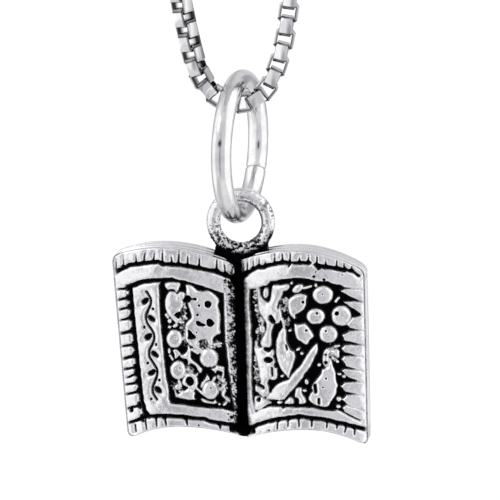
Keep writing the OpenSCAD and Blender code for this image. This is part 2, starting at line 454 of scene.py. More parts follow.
# The soot in the sheet lines fades from the gutter outwards to this, over this share of the page's width
SHEET_SOOT_OUT = 0.35
SHEET_SOOT_FADE = 0.6
# The back: how far its edge is drawn in, at half a page's width and height, and how deep and wide it is rounded
BACK_DRAW = 0.06
HALF_WIDTH = 3
HALF_HEIGHT = 4
BACK_DEPTH = 0.06
BACK_WIDTH = 0.3
# The sunk line on the back: how far in from the edge it runs, half its width, and how deep it is
LINE_IN = 0.75
LINE_WIDTH = 0.13
LINE_DEPTH = 0.07


def edge_z(page, x, edge):
    """The height of a page's top or bottom edge."""
    crest = page[edge + "_x"]
    steep = np.where(abs(x) < abs(crest), page[edge + "_in"], page[edge + "_out"])
    return PAGE_TOP - (PAGE_H if edge == "low" else 0) - steep * (x - crest) ** 2


def page_plan(page):
    """Places on a page's front before its relief: x and z, the turn of the surface there, and where the camera
    sees them, u to the right and v up."""
    low_corner = CORNER_LOW * (1 - dome(UPWARDS * PAGE_H / CORNER_LOW))
    top_corner = CORNER_TOP * (1 - dome((1 - UPWARDS) * PAGE_H / CORNER_TOP))
    out = mix(page["out_low"], page["out_top"], UPWARDS) - page["side"] * (low_corner + top_corner)
    x = mix(mix(page["in_low"], page["in_top"], UPWARDS), out, ACROSS)
    z = mix(edge_z(page, x, "low"), edge_z(page, x, "top"), UPWARDS)
    turn_x = (x - page["side"] * BOW_X) / BOW_R
    turn_y = -np.sqrt(1 - turn_x ** 2)
    y = BOW_Y + BOW_R * turn_y
    u = x * VIEW_RIGHT[0] + y * VIEW_RIGHT[1]
    v = x * VIEW_UP[0] + y * VIEW_UP[1] + z * VIEW_UP[2]
    return x, z, turn_x, turn_y, u, v


# Sunk lines round the page block, as shares of its depth from the front to the cover's back, how far half of
# each reaches, and how deep it is in millimetres. The last parts the sheets from the cover. The block's many
# sheets are drawn as three, because finer lines wouldn't show
SHEET_LINES = [(0.22, 0.055, 0.08), (0.5, 0.055, 0.08), (0.8, 0.045, 0.11)]
LINE_SLOPE = 0.03


def block_rings():
    """Shares of the block's depth, how far in its side stands there in millimetres, and the soot on it."""
    rings = [(0.03, 0.0, 0.0)]
    for line, half, sunk in SHEET_LINES:
        rings += [(line - half - LINE_SLOPE, 0.0, 0.0), (line - half, sunk, 1.0),
                  (line + half, sunk, 1.0), (line + half + LINE_SLOPE, 0.0, 0.0)]
    return rings + [(0.95, 0.0, 0.0)]


def border(grid):
    """The outline of a grid, once round."""
    return np.concatenate([grid[:-1, 0], grid[-1, :-1], grid[:0:-1, -1], grid[0, :0:-1]])


def page_back(x, z, rim, middle):
    """The cover's points and the soot on it."""
    x, z, rim = (grid[::COARSE, ::COARSE] for grid in (x, z, rim))
    on_edge = rim < BACK_DRAW
    x = x + BACK_DRAW * (middle[0] - x) / HALF_WIDTH * on_edge
    z = z + BACK_DRAW * (middle[1] - z) / HALF_HEIGHT * on_edge
    line = np.exp(-((rim - LINE_IN) / LINE_WIDTH) ** 2)
    y = BACK_Y - BACK_DEPTH * (1 - dome(rim / BACK_WIDTH)) - LINE_DEPTH * line
    return np.stack([x, y, z], -1), 0.9 * ease((line - 0.4) / 0.5)


def page_piece(name, page, relief, soot):
    """One page as a closed solid: its relief in front, its block of sheets, and the cover behind."""
    x, z, turn_x, turn_y, u, v = page_plan(page)
    width = abs(page["out_top"] - page["in_top"])
    rim = np.minimum(np.minimum(ACROSS, 1 - ACROSS) * width, np.minimum(UPWARDS, 1 - UPWARDS) * PAGE_H)
    outer = np.minimum(np.minimum((1 - ACROSS) * width, (1 - UPWARDS) * PAGE_H), UPWARDS * PAGE_H)
    margin = 1 - ease((outer - 0.6 * MARGIN) / (0.8 * MARGIN))
    relief.level = np.maximum(relief.level, margin)
    soot = soot * (1 - margin * ((ACROSS > SOOTY_WITHIN) | (UPWARDS < SOOTY_ABOVE)))
    hollow = sum(deep * lumps(u, v, cell, seed) for cell, deep, seed in HOLLOWS)
    depth = RELIEF * (1 - relief.level) + FLAT_DEPTH + hollow * np.clip(relief.level, 0, 1)
    depth = depth + RIM_DEPTH * (1 - dome(rim / RIM_WIDTH))
    depth = depth + SIDE_DEPTH * (1 - dome((1 - ACROSS) * width / SIDE_WIDTH))
    front_x = page["side"] * BOW_X + (BOW_R - depth) * turn_x
    front_y = BOW_Y + (BOW_R - depth) * turn_y
    number = np.arange(x.size).reshape(x.shape)
    vertices = [np.stack([front_x, front_y, z], -1).reshape(-1, 3)]
    marks = [soot.ravel()]
    faces = quads(number)
    ring = border(number)
    around = len(ring)
    total = number.size
    plan = np.stack([border(x), border(z)], -1)
    middle = plan.mean(0)
    inward = (middle - plan) / np.linalg.norm(middle - plan, axis=1)[:, None]
    lip_y = border(BOW_Y + BOW_R * turn_y)
    outward = border(ACROSS + 0 * UPWARDS)
    faded = mix(1, SHEET_SOOT_OUT, ease(outward / SHEET_SOOT_FADE))
    for share, inset, ink in block_rings():
        place = plan + inward * inset
        y = mix(lip_y, BACK_Y, share)
        vertices.append(np.stack([place[:, 0], y, place[:, 1]], -1))
        marks.append(np.maximum(outward == 0, ink * faded))
        after = np.arange(total, total + around)
        faces += [(ring[i], ring[(i + 1) % around], after[(i + 1) % around], after[i]) for i in range(around)]
        ring = after
        total += around
    back, back_soot = page_back(x, z, rim, middle)
    back_number = total + np.arange(back_soot.size).reshape(back_soot.shape)
    vertices.append(back.reshape(-1, 3))
    marks.append(back_soot.ravel())
    faces += quads(back_number)
    coarse = border(back_number)
    for i in range(len(coarse)):
        fine = [ring[(i * COARSE + k) % around] for k in range(COARSE + 1)]
        faces.append(tuple(fine + [coarse[(i + 1) % len(coarse)], coarse[i]]))
    faces = [tuple(int(n) for n in f) for f in faces]
    mesh = outward_mesh(name, np.concatenate(vertices) + EYE, faces, {"soot": np.concatenate(marks)})
    finish_piece(name, mesh, "charm", "oxidised_silver", "book_charm")


def quads(number):
    """The faces of a grid of numbered points."""
    a, b = number[:-1, :-1].ravel(), number[1:, :-1].ravel()
    c, d = number[1:, 1:].ravel(), number[:-1, 1:].ravel()
    return list(zip(a, b, c, d))


# The level up to which the relief is black, and how much higher it is bare
BLACK_LEVEL = 0.12
BARE_RISE = 0.35
# The sizes of the patches that the polishing missed, and the soot on them
PATCH_CELL = 0.09
PATCHY_CELL = 0.45
PATCH_SOOT = 0.2


def blackness(relief):
    """Soot lies where the relief is low, and clings in faint patches to what the polishing missed."""
    patches = lumps(relief.u, relief.v, PATCH_CELL, 51) + 0.8 * lumps(relief.u, relief.v, PATCHY_CELL, 52)
    sunk = 1 - ease((relief.level - BLACK_LEVEL) / BARE_RISE)
    return np.maximum(sunk, PATCH_SOOT * ease((patches - 0.15) / 0.9))


# Charts run right and down in millimetres from a corner of each page's picture field
LEFT_CORNER = np.array([-4.04, -2.915])
RIGHT_CORNER = np.array([0.46, -2.915])

# Widths of the gaps between teeth, at the page's edge and at the groove
TOP_GAP = (0.01, 0.09)
SIDE_GAP = (0.07, 0.13)
WIDE_GAP = (0.1, 0.18)
LEFT_LOW_GAP = (0.05, 0.12)
RIGHT_LOW_GAP = (0.05, 0.09)
# How high shapes stand, as shares of the relief: berries, the right page's large shapes, crumbs, and sprigs
BERRY_HIGH = 1.3
LARGE_HIGH = 1.1
CRUMB_HIGH = 0.95
SPRIG_HIGH = 0.85
# Widths of the ridges
LEFT_RIDGE = 0.1
RIGHT_RIDGE = 0.11

# The left page's frame. A row is a groove's width and its line
LEFT_GROOVES = [
    (0.17, [(-2.4, -0.3), (-2.2, -0.42), (-1.9, -0.58), (-1.6, -0.72), (-1.15, -0.77), (-0.5, -0.87),
            (-0.1, -0.87), (0.1, -0.77), (1, -0.72), (1.5, -0.65), (2.25, -0.5), (2.75, -0.42), (3.3, -0.22),
            (3.8, -0.05)]),
    (0.2, [(-1.6, 0.38), (-1.1, 0.16), (-0.6, 0.06), (0, 0.04), (0.6, 0.04)]),
    (0.2, [(-1.56, 0.35), (-1.5, 1.15), (-1.45, 1.75), (-1.35, 2.65), (-1.27, 3.5), (-1.17, 4.4), (-1.08, 5.3),
           (-1, 6), (-0.85, 6.6), (-0.6, 6.88)]),
    (0.16, [(-0.85, 6.75), (-0.6, 6.88), (0, 6.83), (1.1, 6.88), (1.85, 6.98), (2.2, 6.98), (2.6, 7.13),
            (3, 7.2), (3.5, 7.28), (3.9, 7.35)]),
    (0.07, [(-1.32, 7.3), (-1.3, 7.6)]),
]
# The gaps between the teeth, each a line
LEFT_TOP_GAPS = [
    [(-2.27, -1.05), (-2.27, -0.38)], [(-1.9, -1.3), (-1.9, -0.6)], [(-1.25, -1.25), (-1.25, -0.76)],
    [(-0.75, -1.55), (-0.86, -0.8)], [(-0.31, -1.4), (-0.36, -0.87)], [(0.12, -1.5), (0.08, -0.8)],
    [(0.55, -1.2), (0.57, -0.76)], [(0.95, -1.55), (0.92, -0.74)], [(1.4, -1.2), (1.36, -0.68)],
    [(1.98, -1.25), (1.97, -0.57)], [(2.86, -1.15), (2.84, -0.42)], [(3.22, -1.05), (3.29, -0.25)],
]
LEFT_SIDE_GAPS = [
    [(-2.23, 0.5), (-1.65, 0.42)], [(-2.18, 1.02), (-1.62, 0.9)], [(-2.15, 1.52), (-1.55, 1.38)],
    [(-2.1, 2.05), (-1.5, 1.92)], [(-2.02, 3.35), (-1.35, 3.27)], [(-1.92, 4.5), (-1.25, 4.4)],
    [(-1.72, 4.92), (-1.2, 4.72)], [(-1.88, 5.3), (-1.15, 5.15)], [(-1.85, 5.77), (-1.1, 5.6)],
    [(-1.75, 6.5), (-1.05, 6.3)],
]
LEFT_WIDE_GAPS = [[(-2.08, 2.7), (-1.42, 2.58)], [(-1.98, 4), (-1.3, 3.8)], [(-1.65, 7.2), (-0.9, 6.95)]]
LEFT_LOW_GAPS = [
    [(-0.8, 6.85), (-0.72, 7.55)], [(-0.25, 6.85), (-0.2, 7.35)],
    [(0.2, 6.85), (0.28, 7.3)], [(1.3, 6.9), (1.36, 7.35)], [(3.02, 7.2), (3.05, 7.6)],
]
LEFT_PITS = [(-1.48, 6.55, 0.11), (1.92, 7.3, 0.04), (2.5, 7.45, 0.04), (3.54, 0.36, 0.09), (3.28, 0.02, 0.05),
             (3.43, 0.12, 0.04), (3.22, 0.3, 0.03), (3.6, 6.9, 0.07), (3.45, 7.02, 0.04), (3.42, 6.75, 0.04)]
LEFT_NOTCH = [(3.55, 7.3), (3.75, 7.35), (3.74, 7.72), (3.6, 7.68)]

# The left page's flower field, and what stands in it
FLOWER_FIELD = [
    (0, -0.05), (0.6, -0.05), (1, 0.05), (1.4, 0.15), (1.8, 0.25), (2.15, 0.35), (2.6, 0.5), (3, 0.67),
    (3.2, 0.7), (3.22, 1), (3.22, 1.75), (3.25, 2.5), (3.3, 3.25), (3.4, 4), (3.45, 4.5), (3.53, 5),
    (3.6, 5.75), (3.7, 6.25), (3.75, 6.6), (3.5, 6.55), (3.1, 6.47), (2.5, 6.45), (2, 6.4), (1.5, 6.32),
    (1, 6.25), (0.5, 6.2), (0.42, 6), (0.42, 5.5), (0.3, 4.9), (0.22, 4.25), (0.15, 3.5), (0.05, 2.75),
    (-0.03, 1.5), (-0.05, 1), (-0.07, 0.35),
]
TULIP = [
    (0.5, 0.62), (0.35, 0.7), (0.24, 0.95), (0.21, 1.25), (0.25, 1.5), (0.4, 1.78), (0.6, 2), (0.72, 2.15),
    (0.82, 2.22), (0.94, 2.1), (0.99, 1.9), (1.02, 1.6), (1.12, 1.4), (1.15, 1.15), (1.05, 1), (0.9, 0.98),
    (0.88, 0.8), (0.72, 0.65),
]
BIG_PETAL = [
    (1.29, 0.3), (1.5, 0.3), (1.7, 0.4), (1.9, 0.55), (2.15, 0.59), (2.4, 0.58), (2.65, 0.68), (2.88, 0.85),
    (2.98, 1.08), (2.94, 1.33), (3, 1.6), (3.06, 1.9), (3.02, 2.4), (3.06, 2.7), (2.85, 2.8), (2.7, 2.95),
    (2.68, 3.2), (2.58, 3.34), (2.42, 3.25), (2.32, 3.05), (2.1, 3.05), (1.92, 3.15), (1.8, 3.35), (1.6, 3.38),
    (1.42, 3.22), (1.3, 3.1), (1.24, 2.85), (1.25, 2.55), (1.24, 2.3), (1.38, 2.1), (1.54, 1.92), (1.54, 1.7),
    (1.4, 1.35), (1.35, 1.15), (1.32, 0.85), (1.3, 0.55),
]
CORNER_PLATE = [
    (0.2, 0.25), (0.25, 0.18), (0.5, 0.15), (0.9, 0.18), (1, 0.25), (0.95, 0.4), (0.9, 0.55), (0.82, 0.65),
    (0.7, 0.52), (0.5, 0.5), (0.35, 0.52), (0.25, 0.42),
]
BRANCH = [
    (1.4, 3.3), (1.52, 3.5), (1.54, 3.75), (1.54, 3.95), (1.65, 4.05), (1.85, 4.22), (2, 4.38), (2.12, 4.5),
    (2.08, 4.65), (2, 4.7), (1.92, 4.58), (1.8, 4.38), (1.65, 4.25), (1.5, 4.22), (1.4, 4.3), (1.38, 4.1),
    (1.3, 4), (1.15, 3.98), (1, 3.9), (1.02, 3.78), (1.2, 3.75), (1.35, 3.55),
]
HOOKED_LEAF = [
    (2.6, 4.5), (2.8, 4.42), (2.85, 4.32), (3.15, 4.35), (3.25, 4.45), (3.25, 4.8), (3.18, 4.98), (3.1, 4.92),
    (3.15, 4.7), (3, 4.6), (2.88, 4.58), (2.8, 4.7), (2.7, 4.6),
]
CALYX = [
    (1.2, 4.9), (1.3, 4.74), (1.5, 4.69), (1.75, 4.78), (1.89, 4.95), (1.9, 5.2), (1.82, 5.45), (1.68, 5.58),
    (1.5, 5.48), (1.32, 5.38), (1.15, 5.3), (1.08, 5.18), (1.12, 5),
]
LOW_PLATE = [
    (1.05, 5.58), (1.25, 5.55), (1.45, 5.45), (1.65, 5.58), (1.75, 5.7), (1.72, 5.9), (1.8, 6.02), (1.6, 6.05),
    (1.3, 6.02), (1.05, 5.98), (0.85, 5.92), (0.75, 5.9), (0.71, 5.7), (0.7, 5.52), (0.82, 5.72), (0.95, 5.72),
]
CRESCENT = [(2.05, 6), (2.2, 6), (2.4, 6.1), (2.65, 6.15), (2.8, 6.05), (2.88, 6.2), (2.65, 6.25), (2.35, 6.2),
            (2.15, 6.15)]
SPRIG = [(2.28, 5), (2.38, 4.8), (2.48, 5), (2.3, 5.1), (2.15, 5.3), (2.05, 5.42), (2.08, 5.2), (2.18, 5.1)]
SLIVER = [(2.62, 5.05), (2.78, 4.85), (2.8, 5), (2.7, 5.12)]
EDGE_LEAF = [
    (3.18, 5.35), (3.3, 5.4), (3.35, 5.6), (3.3, 5.8), (3.45, 5.9), (3.55, 6), (3.52, 6.2), (3.4, 6.1),
    (3.25, 6), (3.12, 5.85), (3.1, 5.7), (3.2, 5.55),
]
TWIG = [(1.65, 3.35), (1.95, 3.4), (2.15, 3.58), (2, 3.7), (1.75, 3.52)]
HUSK = [(0.65, 3.55), (0.85, 3.55), (1, 3.7), (0.9, 3.85), (0.75, 3.95), (0.72, 3.75)]
# Berries: place, radii and tilt
LEFT_BERRIES = [(0.69, 2.98, 0.41, 0.45, 0), (0.865, 4.55, 0.4, 0.46, 0), (2.475, 3.95, 0.48, 0.47, 0),
                (2.55, 5.55, 0.43, 0.46, 0)]
LEFT_BERRY_PITS = [(0.78, 2.9, 0.025), (0.98, 4.42, 0.035), (1.02, 4.5, 0.02), (2.5, 3.9, 0.025),
                   (2.55, 5.45, 0.035)]
LEFT_CRUMBS = [
    (1.065, 0.815, 0.19, 0.19, 0), (0.45, 2.08, 0.1, 0.1, 0), (0.75, 2.32, 0.13, 0.08, 20),
    (0.45, 2.38, 0.08, 0.07, 0), (1.08, 2.14, 0.1, 0.05, 0), (0.85, 5.4, 0.15, 0.14, 0),
    (3.28, 6.22, 0.12, 0.07, 45), (3, 6.25, 0.05, 0.05, 0),
]
LEFT_RIDGES = [
    [(0.27, 1.75), (0.36, 1.9)], [(0.43, 3.5), (0.45, 3.65)], [(0.48, 3.82), (0.59, 4)],
    [(1.58, 3.52), (1.88, 3.68)], [(0.92, 5.1), (1.02, 5.35)], [(1.8, 5.4), (2.05, 5.65), (2.3, 5.85)],
    [(2.75, 3.26), (3.08, 3.2)],
]
LEFT_CRUSTS = [
    [(0.9, 1.3), (1.2, 1.25), (1.3, 1.9), (1.1, 2.2), (0.85, 2.1)],
    [(1.05, 2.3), (1.35, 2.4), (1.4, 3.2), (1.15, 3.3), (1.05, 2.8)],
    [(1.85, 3.2), (2.3, 3.1), (2.9, 3.1), (3.1, 3.35), (2.5, 3.45), (2.1, 3.6), (1.7, 3.5)],
    [(1.0, 4.2), (1.45, 4.4), (1.9, 4.75), (1.5, 4.85), (1.1, 4.7)],
    [(0.55, 5.2), (0.95, 5.3), (1.0, 5.6), (0.7, 5.6)],
    [(2.9, 4.9), (3.3, 5), (3.35, 5.5), (3.05, 5.6)],
]
# Holes through the petals down to the ground
TULIP_HOLE = [(0.72, 1.75), (1.02, 1.6), (1, 1.88), (0.89, 1.96)]
PETAL_HOLES = [
    [(1.8, 2.08), (1.95, 2.08), (2.1, 2.18), (2.28, 2.25), (2.2, 2.33), (2, 2.33), (1.85, 2.25)],
    [(2.38, 2), (2.5, 1.95), (2.62, 2.05), (2.7, 2.2), (2.65, 2.3), (2.5, 2.34), (2.38, 2.28), (2.34, 2.12)],
    [(1.38, 2.52), (1.5, 2.55), (1.62, 2.7), (1.76, 2.82), (1.75, 2.96), (1.55, 2.99), (1.4, 2.94),
     (1.42, 2.75)],
]
CALYX_HOLE = (1.485, 5.09, 0.19, 0.23, 20)
PETAL_PITS = [(1.385, 0.965, 0.18), (1.765, 0.975, 0.08), (1.95, 1.3, 0.06), (2.415, 1.23, 0.17),
              (1.875, 1.775, 0.06), (1.825, 2.65, 0.04)]
PETAL_SLOT = (0.06, [(1.5, 0.98), (1.76, 0.98)])

# The engraved vine in the left page's narrow column: where its line begins and ends, its sway, and its turns
VINE_TOP = np.array([-0.72, 0.62])
VINE_FOOT = np.array([-0.22, 6.0])
VINE_SWAY = 0.17
VINE_TURNS = 3
VINE_WIDTH = 0.1
# A leaf's half length and half width, its tilt in degrees, and how far it stands from the vine's middle line
LEAF_LONG = 0.23
LEAF_WIDE = 0.12
LEAF_TILT = 35
LEAF_OFF = 0.12
# A berry's radius and how far it stands from that line
BERRY_R = 0.07
BERRY_OFF = 0.26


def vine(relief):
    """A stem that sways down the column, with a leaf in each bend and berries between."""
    run = VINE_FOOT - VINE_TOP
    across = np.array([run[1], -run[0]]) / np.linalg.norm(run)
    share = np.linspace(0, 1, 37)
    sway = VINE_SWAY * np.sin(2 * math.pi * VINE_TURNS * share)
    relief.groove(VINE_WIDTH, VINE_TOP + share[:, None] * run + sway[:, None] * across)
    for bend in range(2 * VINE_TURNS):
        side = 1 if bend % 2 == 0 else -1
        leaf = VINE_TOP + (bend + 0.5) / (2 * VINE_TURNS) * run - side * LEAF_OFF * across
        relief.cut(relief.oval(*leaf, LEAF_LONG, LEAF_WIDE, side * LEAF_TILT))
        berry = VINE_TOP + (bend + 0.95) / (2 * VINE_TURNS) * run + side * BERRY_OFF * across
        relief.pits([(*berry, BERRY_R)])


def left_page():
    u, v = page_plan(LEFT)[4:]
    relief = Relief(u, v, LEFT_CORNER, 11)
    for width, line in LEFT_GROOVES:
        relief.groove(width, line)
    relief.notches(*TOP_GAP, LEFT_TOP_GAPS)
    relief.notches(*SIDE_GAP, LEFT_SIDE_GAPS)
    relief.notches(*LEFT_LOW_GAP, [line[::-1] for line in LEFT_LOW_GAPS])
    relief.notches(*WIDE_GAP, LEFT_WIDE_GAPS)
    relief.pits(LEFT_PITS)
    relief.cut(relief.within(LEFT_NOTCH))
    vine(relief)
    relief.cut(relief.within(FLOWER_FIELD, curved=False))
    for shape in (TULIP, BIG_PETAL, CORNER_PLATE, BRANCH, HOOKED_LEAF, CALYX, LOW_PLATE, CRESCENT, EDGE_LEAF):
        relief.lift(relief.within(shape))
    for shape in (SPRIG, SLIVER, TWIG, HUSK):
        relief.lift(relief.within(shape), SPRIG_EDGE, SPRIG_HIGH)
    relief.ridge(LEFT_RIDGE, *LEFT_RIDGES)
    relief.crust(71, *LEFT_CRUSTS)
    relief.blobs(LEFT_CRUMBS, CRUMB_HIGH)
    for hole in (TULIP_HOLE, *PETAL_HOLES):
        relief.cut(relief.within(hole), HOLE_EDGE)
    relief.cut(relief.oval(*CALYX_HOLE), HOLE_EDGE)
    relief.pits(PETAL_PITS)
    relief.groove(*PETAL_SLOT)
    relief.blobs(LEFT_BERRIES, BERRY_HIGH)
    relief.pits(LEFT_BERRY_PITS)
    return relief, blackness(relief)


# The right page's frame
RIGHT_GROOVES = [
    (0.16, [(-0.5, -0.1), (-0.2, -0.33), (0.1, -0.5), (0.3, -0.6), (0.65, -0.62), (0.8, -0.7), (1.1, -0.75),
            (1.3, -0.8), (1.65, -0.85), (1.92, -0.8)]),
    (0.14, [(2.17, -0.82), (2.93, -0.82)]),
    (0.18, [(3.3, -0.7), (3.65, -0.65), (4, -0.6), (4.25, -0.56), (4.5, -0.52), (4.75, -0.47)]),
    (0.11, [(4.75, -0.47), (5.05, -0.43), (5.25, -0.35), (5.4, -0.22), (5.5, -0.17)]),
    (0.17, [(-0.1, 7.5), (0.1, 7.4), (0.3, 7.27), (0.6, 7.19), (0.8, 7.12), (1.3, 7.02), (1.8, 6.94),
            (2.35, 6.87), (2.5, 6.87), (3.1, 6.94), (3.5, 6.97), (4, 7.07), (4.35, 7.17), (4.75, 7.22),
            (5, 7.32), (5.3, 7.37), (5.8, 7.52)]),
]
RIGHT_TOP_GAPS = [
    [(-0.38, -1.2), (-0.38, -0.2)], [(-0.2, -1.3), (-0.2, -0.33)], [(0.1, -1.1), (0.1, -0.5)],
    [(0.4, -1.1), (0.4, -0.62)], [(0.7, -0.95), (0.73, -0.66)],
    [(1.19, -1.4), (1.19, -0.77)], [(1.58, -1.45), (1.59, -0.84)], [(1.98, -1.45), (1.97, -0.8)],
    [(2.45, -1.15), (2.45, -0.82)], [(2.9, -1.25), (2.9, -0.82)], [(3.35, -1.3), (3.32, -0.7)],
    [(3.78, -1), (3.78, -0.63)], [(4.35, -1.05), (4.31, -0.54)], [(4.71, -0.95), (4.72, -0.48)],
    [(5.1, -0.7), (5.07, -0.43)],
]
RIGHT_LOW_GAPS = [
    [(1.34, 7.02), (1.34, 7.5)], [(1.85, 6.94), (1.87, 7.35)], [(2.4, 6.87), (2.43, 7.35)],
    [(3.07, 6.94), (3.09, 7.35)], [(3.87, 7.04), (3.85, 7.42)], [(4.4, 7.17), (4.37, 7.42)],
    [(4.85, 7.26), (4.78, 7.65)], [(5.3, 7.38), (5.27, 7.75)],
]
RIGHT_PITS = [(1.96, -1.38, 0.07), (1.92, -0.68, 0.06), (3.42, -0.62, 0.14), (3.18, -0.15, 0.07),
              (3.68, 0, 0.07), (3.25, -0.38, 0.03), (4.6, -0.22, 0.03), (0.53, 7.6, 0.02), (0.92, 7.57, 0.05),
              (0.12, 7.6, 0.12)]

# The right page's fruit field, and what stands in it
FRUIT_FIELD = [
    (-0.1, 0.5), (0.2, 0.48), (0.4, 0.45), (0.6, 0.33), (0.8, 0.3), (0.95, 0.12), (1.3, 0.08), (1.55, 0),
    (2.1, -0.05), (2.5, -0.05), (2.95, 0), (3.25, 0.08), (3.6, 0.12), (3.9, 0.1), (4.1, 0.2), (4.3, 0.28),
    (4.55, 0.3), (4.75, 0.4), (5.3, 0.48), (5.55, 0.52), (5.58, 1), (5.6, 2.5), (5.62, 4), (5.6, 5.5),
    (5.6, 6.5), (5.6, 7.1), (5.4, 7), (5, 6.82), (4.6, 6.6), (4.4, 6.52), (4.15, 6.58), (3.75, 6.55),
    (3.25, 6.42), (2.5, 6.38), (1.7, 6.38), (1.62, 6.45), (1.5, 6.35), (1, 6.35), (0.8, 6.4), (0.5, 6.48),
    (0.2, 6.65), (0.04, 6), (0, 4.75), (0.02, 3.5), (-0.04, 2.25), (-0.12, 1.25),
]
# Teeth along the outer side: tip, then the upper corner and its end, and the lower corner and its end
SIDE_TEETH = [
    (4.58, 0.58, 4.75, 0.5, 0.56, 4.9, 0.78, 1.08), (4.75, 1.15, 4.95, 1.12, 1.2, 5.1, 1.38, 1.75),
    (4.88, 2.26, 5.2, 1.92, 1.88, 5.02, 2.4, 2.5), (4.65, 2.78, 5, 2.6, 2.63, 4.74, 3.02, 3.2),
    (4.62, 3.45, 4.75, 3.3, 3.36, 4.75, 3.62, 3.82), (4.62, 4, 4.74, 3.84, 3.94, 4.86, 4.32, 4.52),
    (4.62, 4.53, 4.74, 4.5, 4.65, 4.92, 4.86, 5.12), (4.58, 5.35, 4.78, 5.15, 5.22, 4.8, 5.6, 5.72),
    (4.66, 6, 4.85, 5.8, 5.86, 5, 6.28, 6.52), (4.65, 6.4, 4.85, 6.3, 6.66, 4.8, 6.62, 7.04),
]
SIDE_ROOT = 5.8
ROOT_SPREAD = 0.07
TOOTH_SPREAD = 0.02
SIDE_TOOTH_EDGE = 0.12
RIGHT_BERRIES = [(3.65, 0.78, 0.52, 0.46, 0), (4.6, 1.83, 0.51, 0.51, 0), (3.28, 1.85, 0.46, 0.4, 0),
                 (3.93, 2.75, 0.47, 0.44, 0)]
BERRY_PITS = [(3.62, 0.75, 0.035), (4.35, 1.68, 0.1), (3.34, 1.69, 0.06), (3.79, 2.57, 0.05),
              (2.62, 1.12, 0.07), (2.8, 2.55, 0.06)]
UPPER_FRUIT = [
    (1.85, 1.25), (1.9, 1.6), (2.05, 1.85), (2.18, 1.98), (2.25, 1.9), (2.24, 1.78), (2.4, 1.7), (2.55, 1.6),
    (2.7, 1.45), (2.8, 1.15), (2.82, 0.85), (2.7, 0.75), (2.4, 0.72), (2.05, 0.85), (1.9, 1),
]
LOWER_FRUIT = [
    (2.18, 2.22), (2.4, 2.25), (2.7, 2.2), (2.9, 2.4), (3.02, 2.55), (3.18, 2.85), (2.95, 3.05), (2.88, 3.2),
    (2.75, 3.25), (2.55, 3.12), (2.35, 3), (2.25, 2.82), (2.2, 2.55),
]
LONG_LEAF = [
    (1.65, 2.35), (1.5, 2.5), (1.35, 2.75), (1.25, 3.15), (1.25, 3.6), (1.35, 4.15), (1.5, 4.5), (1.75, 4.8),
    (1.88, 4.9), (1.98, 4.65), (2.12, 4.3), (2.25, 3.9), (2.2, 3.62), (2, 3.52), (1.85, 3.25), (1.78, 2.9),
    (1.78, 2.55),
]
SICKLE_LEAF = [
    (3.32, 3.2), (3.15, 3.35), (2.9, 3.65), (2.7, 3.95), (2.5, 4.3), (2.25, 4.55), (2.05, 4.78), (1.85, 5.02),
    (1.55, 5.12), (1.25, 5.3), (1, 5.6), (0.75, 5.95), (1, 6.02), (1.6, 6.02), (1.8, 5.85), (2, 5.65),
    (2.2, 5.4), (2.45, 5.15), (2.6, 4.95), (2.75, 4.7), (2.95, 4.45), (3.1, 4.2), (3.25, 3.9), (3.38, 3.65),
    (3.4, 3.35),
]
BUD = [
    (4, 3.95), (4.15, 4.25), (4.3, 4.65), (4.35, 5.05), (4.42, 5.3), (4.38, 5.45), (4.32, 5.7), (4.2, 5.95),
    (4.05, 6.15), (3.95, 6.32), (3.75, 6.38), (3.4, 6.3), (3.1, 6.2), (2.95, 6.05), (2.92, 5.9), (3, 5.72),
    (3.15, 5.55), (3.06, 5.45), (3.15, 5.25), (3.3, 5), (3.5, 4.75), (3.6, 4.5), (3.9, 4.35),
]
BUD_CAP = [
    (3.7, 3.6), (3.85, 3.45), (3.98, 3.6), (3.95, 3.8), (3.98, 4.1), (3.85, 4.35), (3.68, 4.25), (3.62, 3.95),
]
BUD_PETAL = [(4.08, 3.6), (4.3, 3.5), (4.45, 3.52), (4.52, 3.65), (4.45, 3.92), (4.3, 3.85)]
SEED_PAIR = [
    (2.2, 5.85), (2.25, 5.5), (2.4, 5.4), (2.55, 5.45), (2.6, 5.7), (2.78, 6.05), (2.75, 6.2), (2.45, 6.22),
    (2.42, 6),
]
SEED = [(1.7, 6.2), (1.85, 5.98), (2, 5.9), (2.15, 6), (2.15, 6.22)]
TALL_STEM = [
    (0.28, 0.55), (0.4, 0.52), (0.45, 0.85), (0.65, 1.05), (0.85, 1.15), (0.98, 0.9), (1.02, 0.55), (1.1, 0.3),
    (1.5, 0.28), (1.85, 0.25), (1.92, 0.4), (1.8, 0.55), (1.62, 0.6), (1.55, 0.8), (1.45, 1), (1.35, 1.2),
    (1.3, 1.45), (1.45, 1.5), (1.55, 1.7), (1.52, 2), (1.35, 2.2), (1.15, 2.25), (1.05, 2.5), (1, 2.9),
    (1, 3.3), (0.8, 3.4), (0.55, 3.35), (0.45, 3.1), (0.6, 2.8), (0.75, 2.5), (0.75, 2.2), (0.6, 1.95),
    (0.4, 1.65), (0.32, 1.25), (0.3, 0.9),
]
LOW_STEM = [
    (0.18, 3.1), (0.28, 3.15), (0.35, 3.4), (0.6, 3.4), (0.8, 3.65), (1.05, 3.5), (1.15, 3.7), (1.1, 3.9),
    (1.2, 4.15), (1.32, 4.5), (1.3, 4.9), (1.1, 5.05), (0.9, 5), (0.82, 5.25), (0.9, 5.55), (0.8, 5.8),
    (0.6, 5.9), (0.35, 5.7), (0.2, 5.6), (0.18, 5.4), (0.25, 5.25), (0.45, 5.15), (0.4, 4.8), (0.35, 4.4),
    (0.25, 4), (0.15, 3.6),
]
ROOT_LOBE = [
    (0.2, 5.85), (0.6, 5.95), (0.9, 6.1), (1, 6.2), (0.8, 6.28), (0.6, 6.4), (0.35, 6.52), (0.2, 6.55),
    (0.16, 6.25),
]
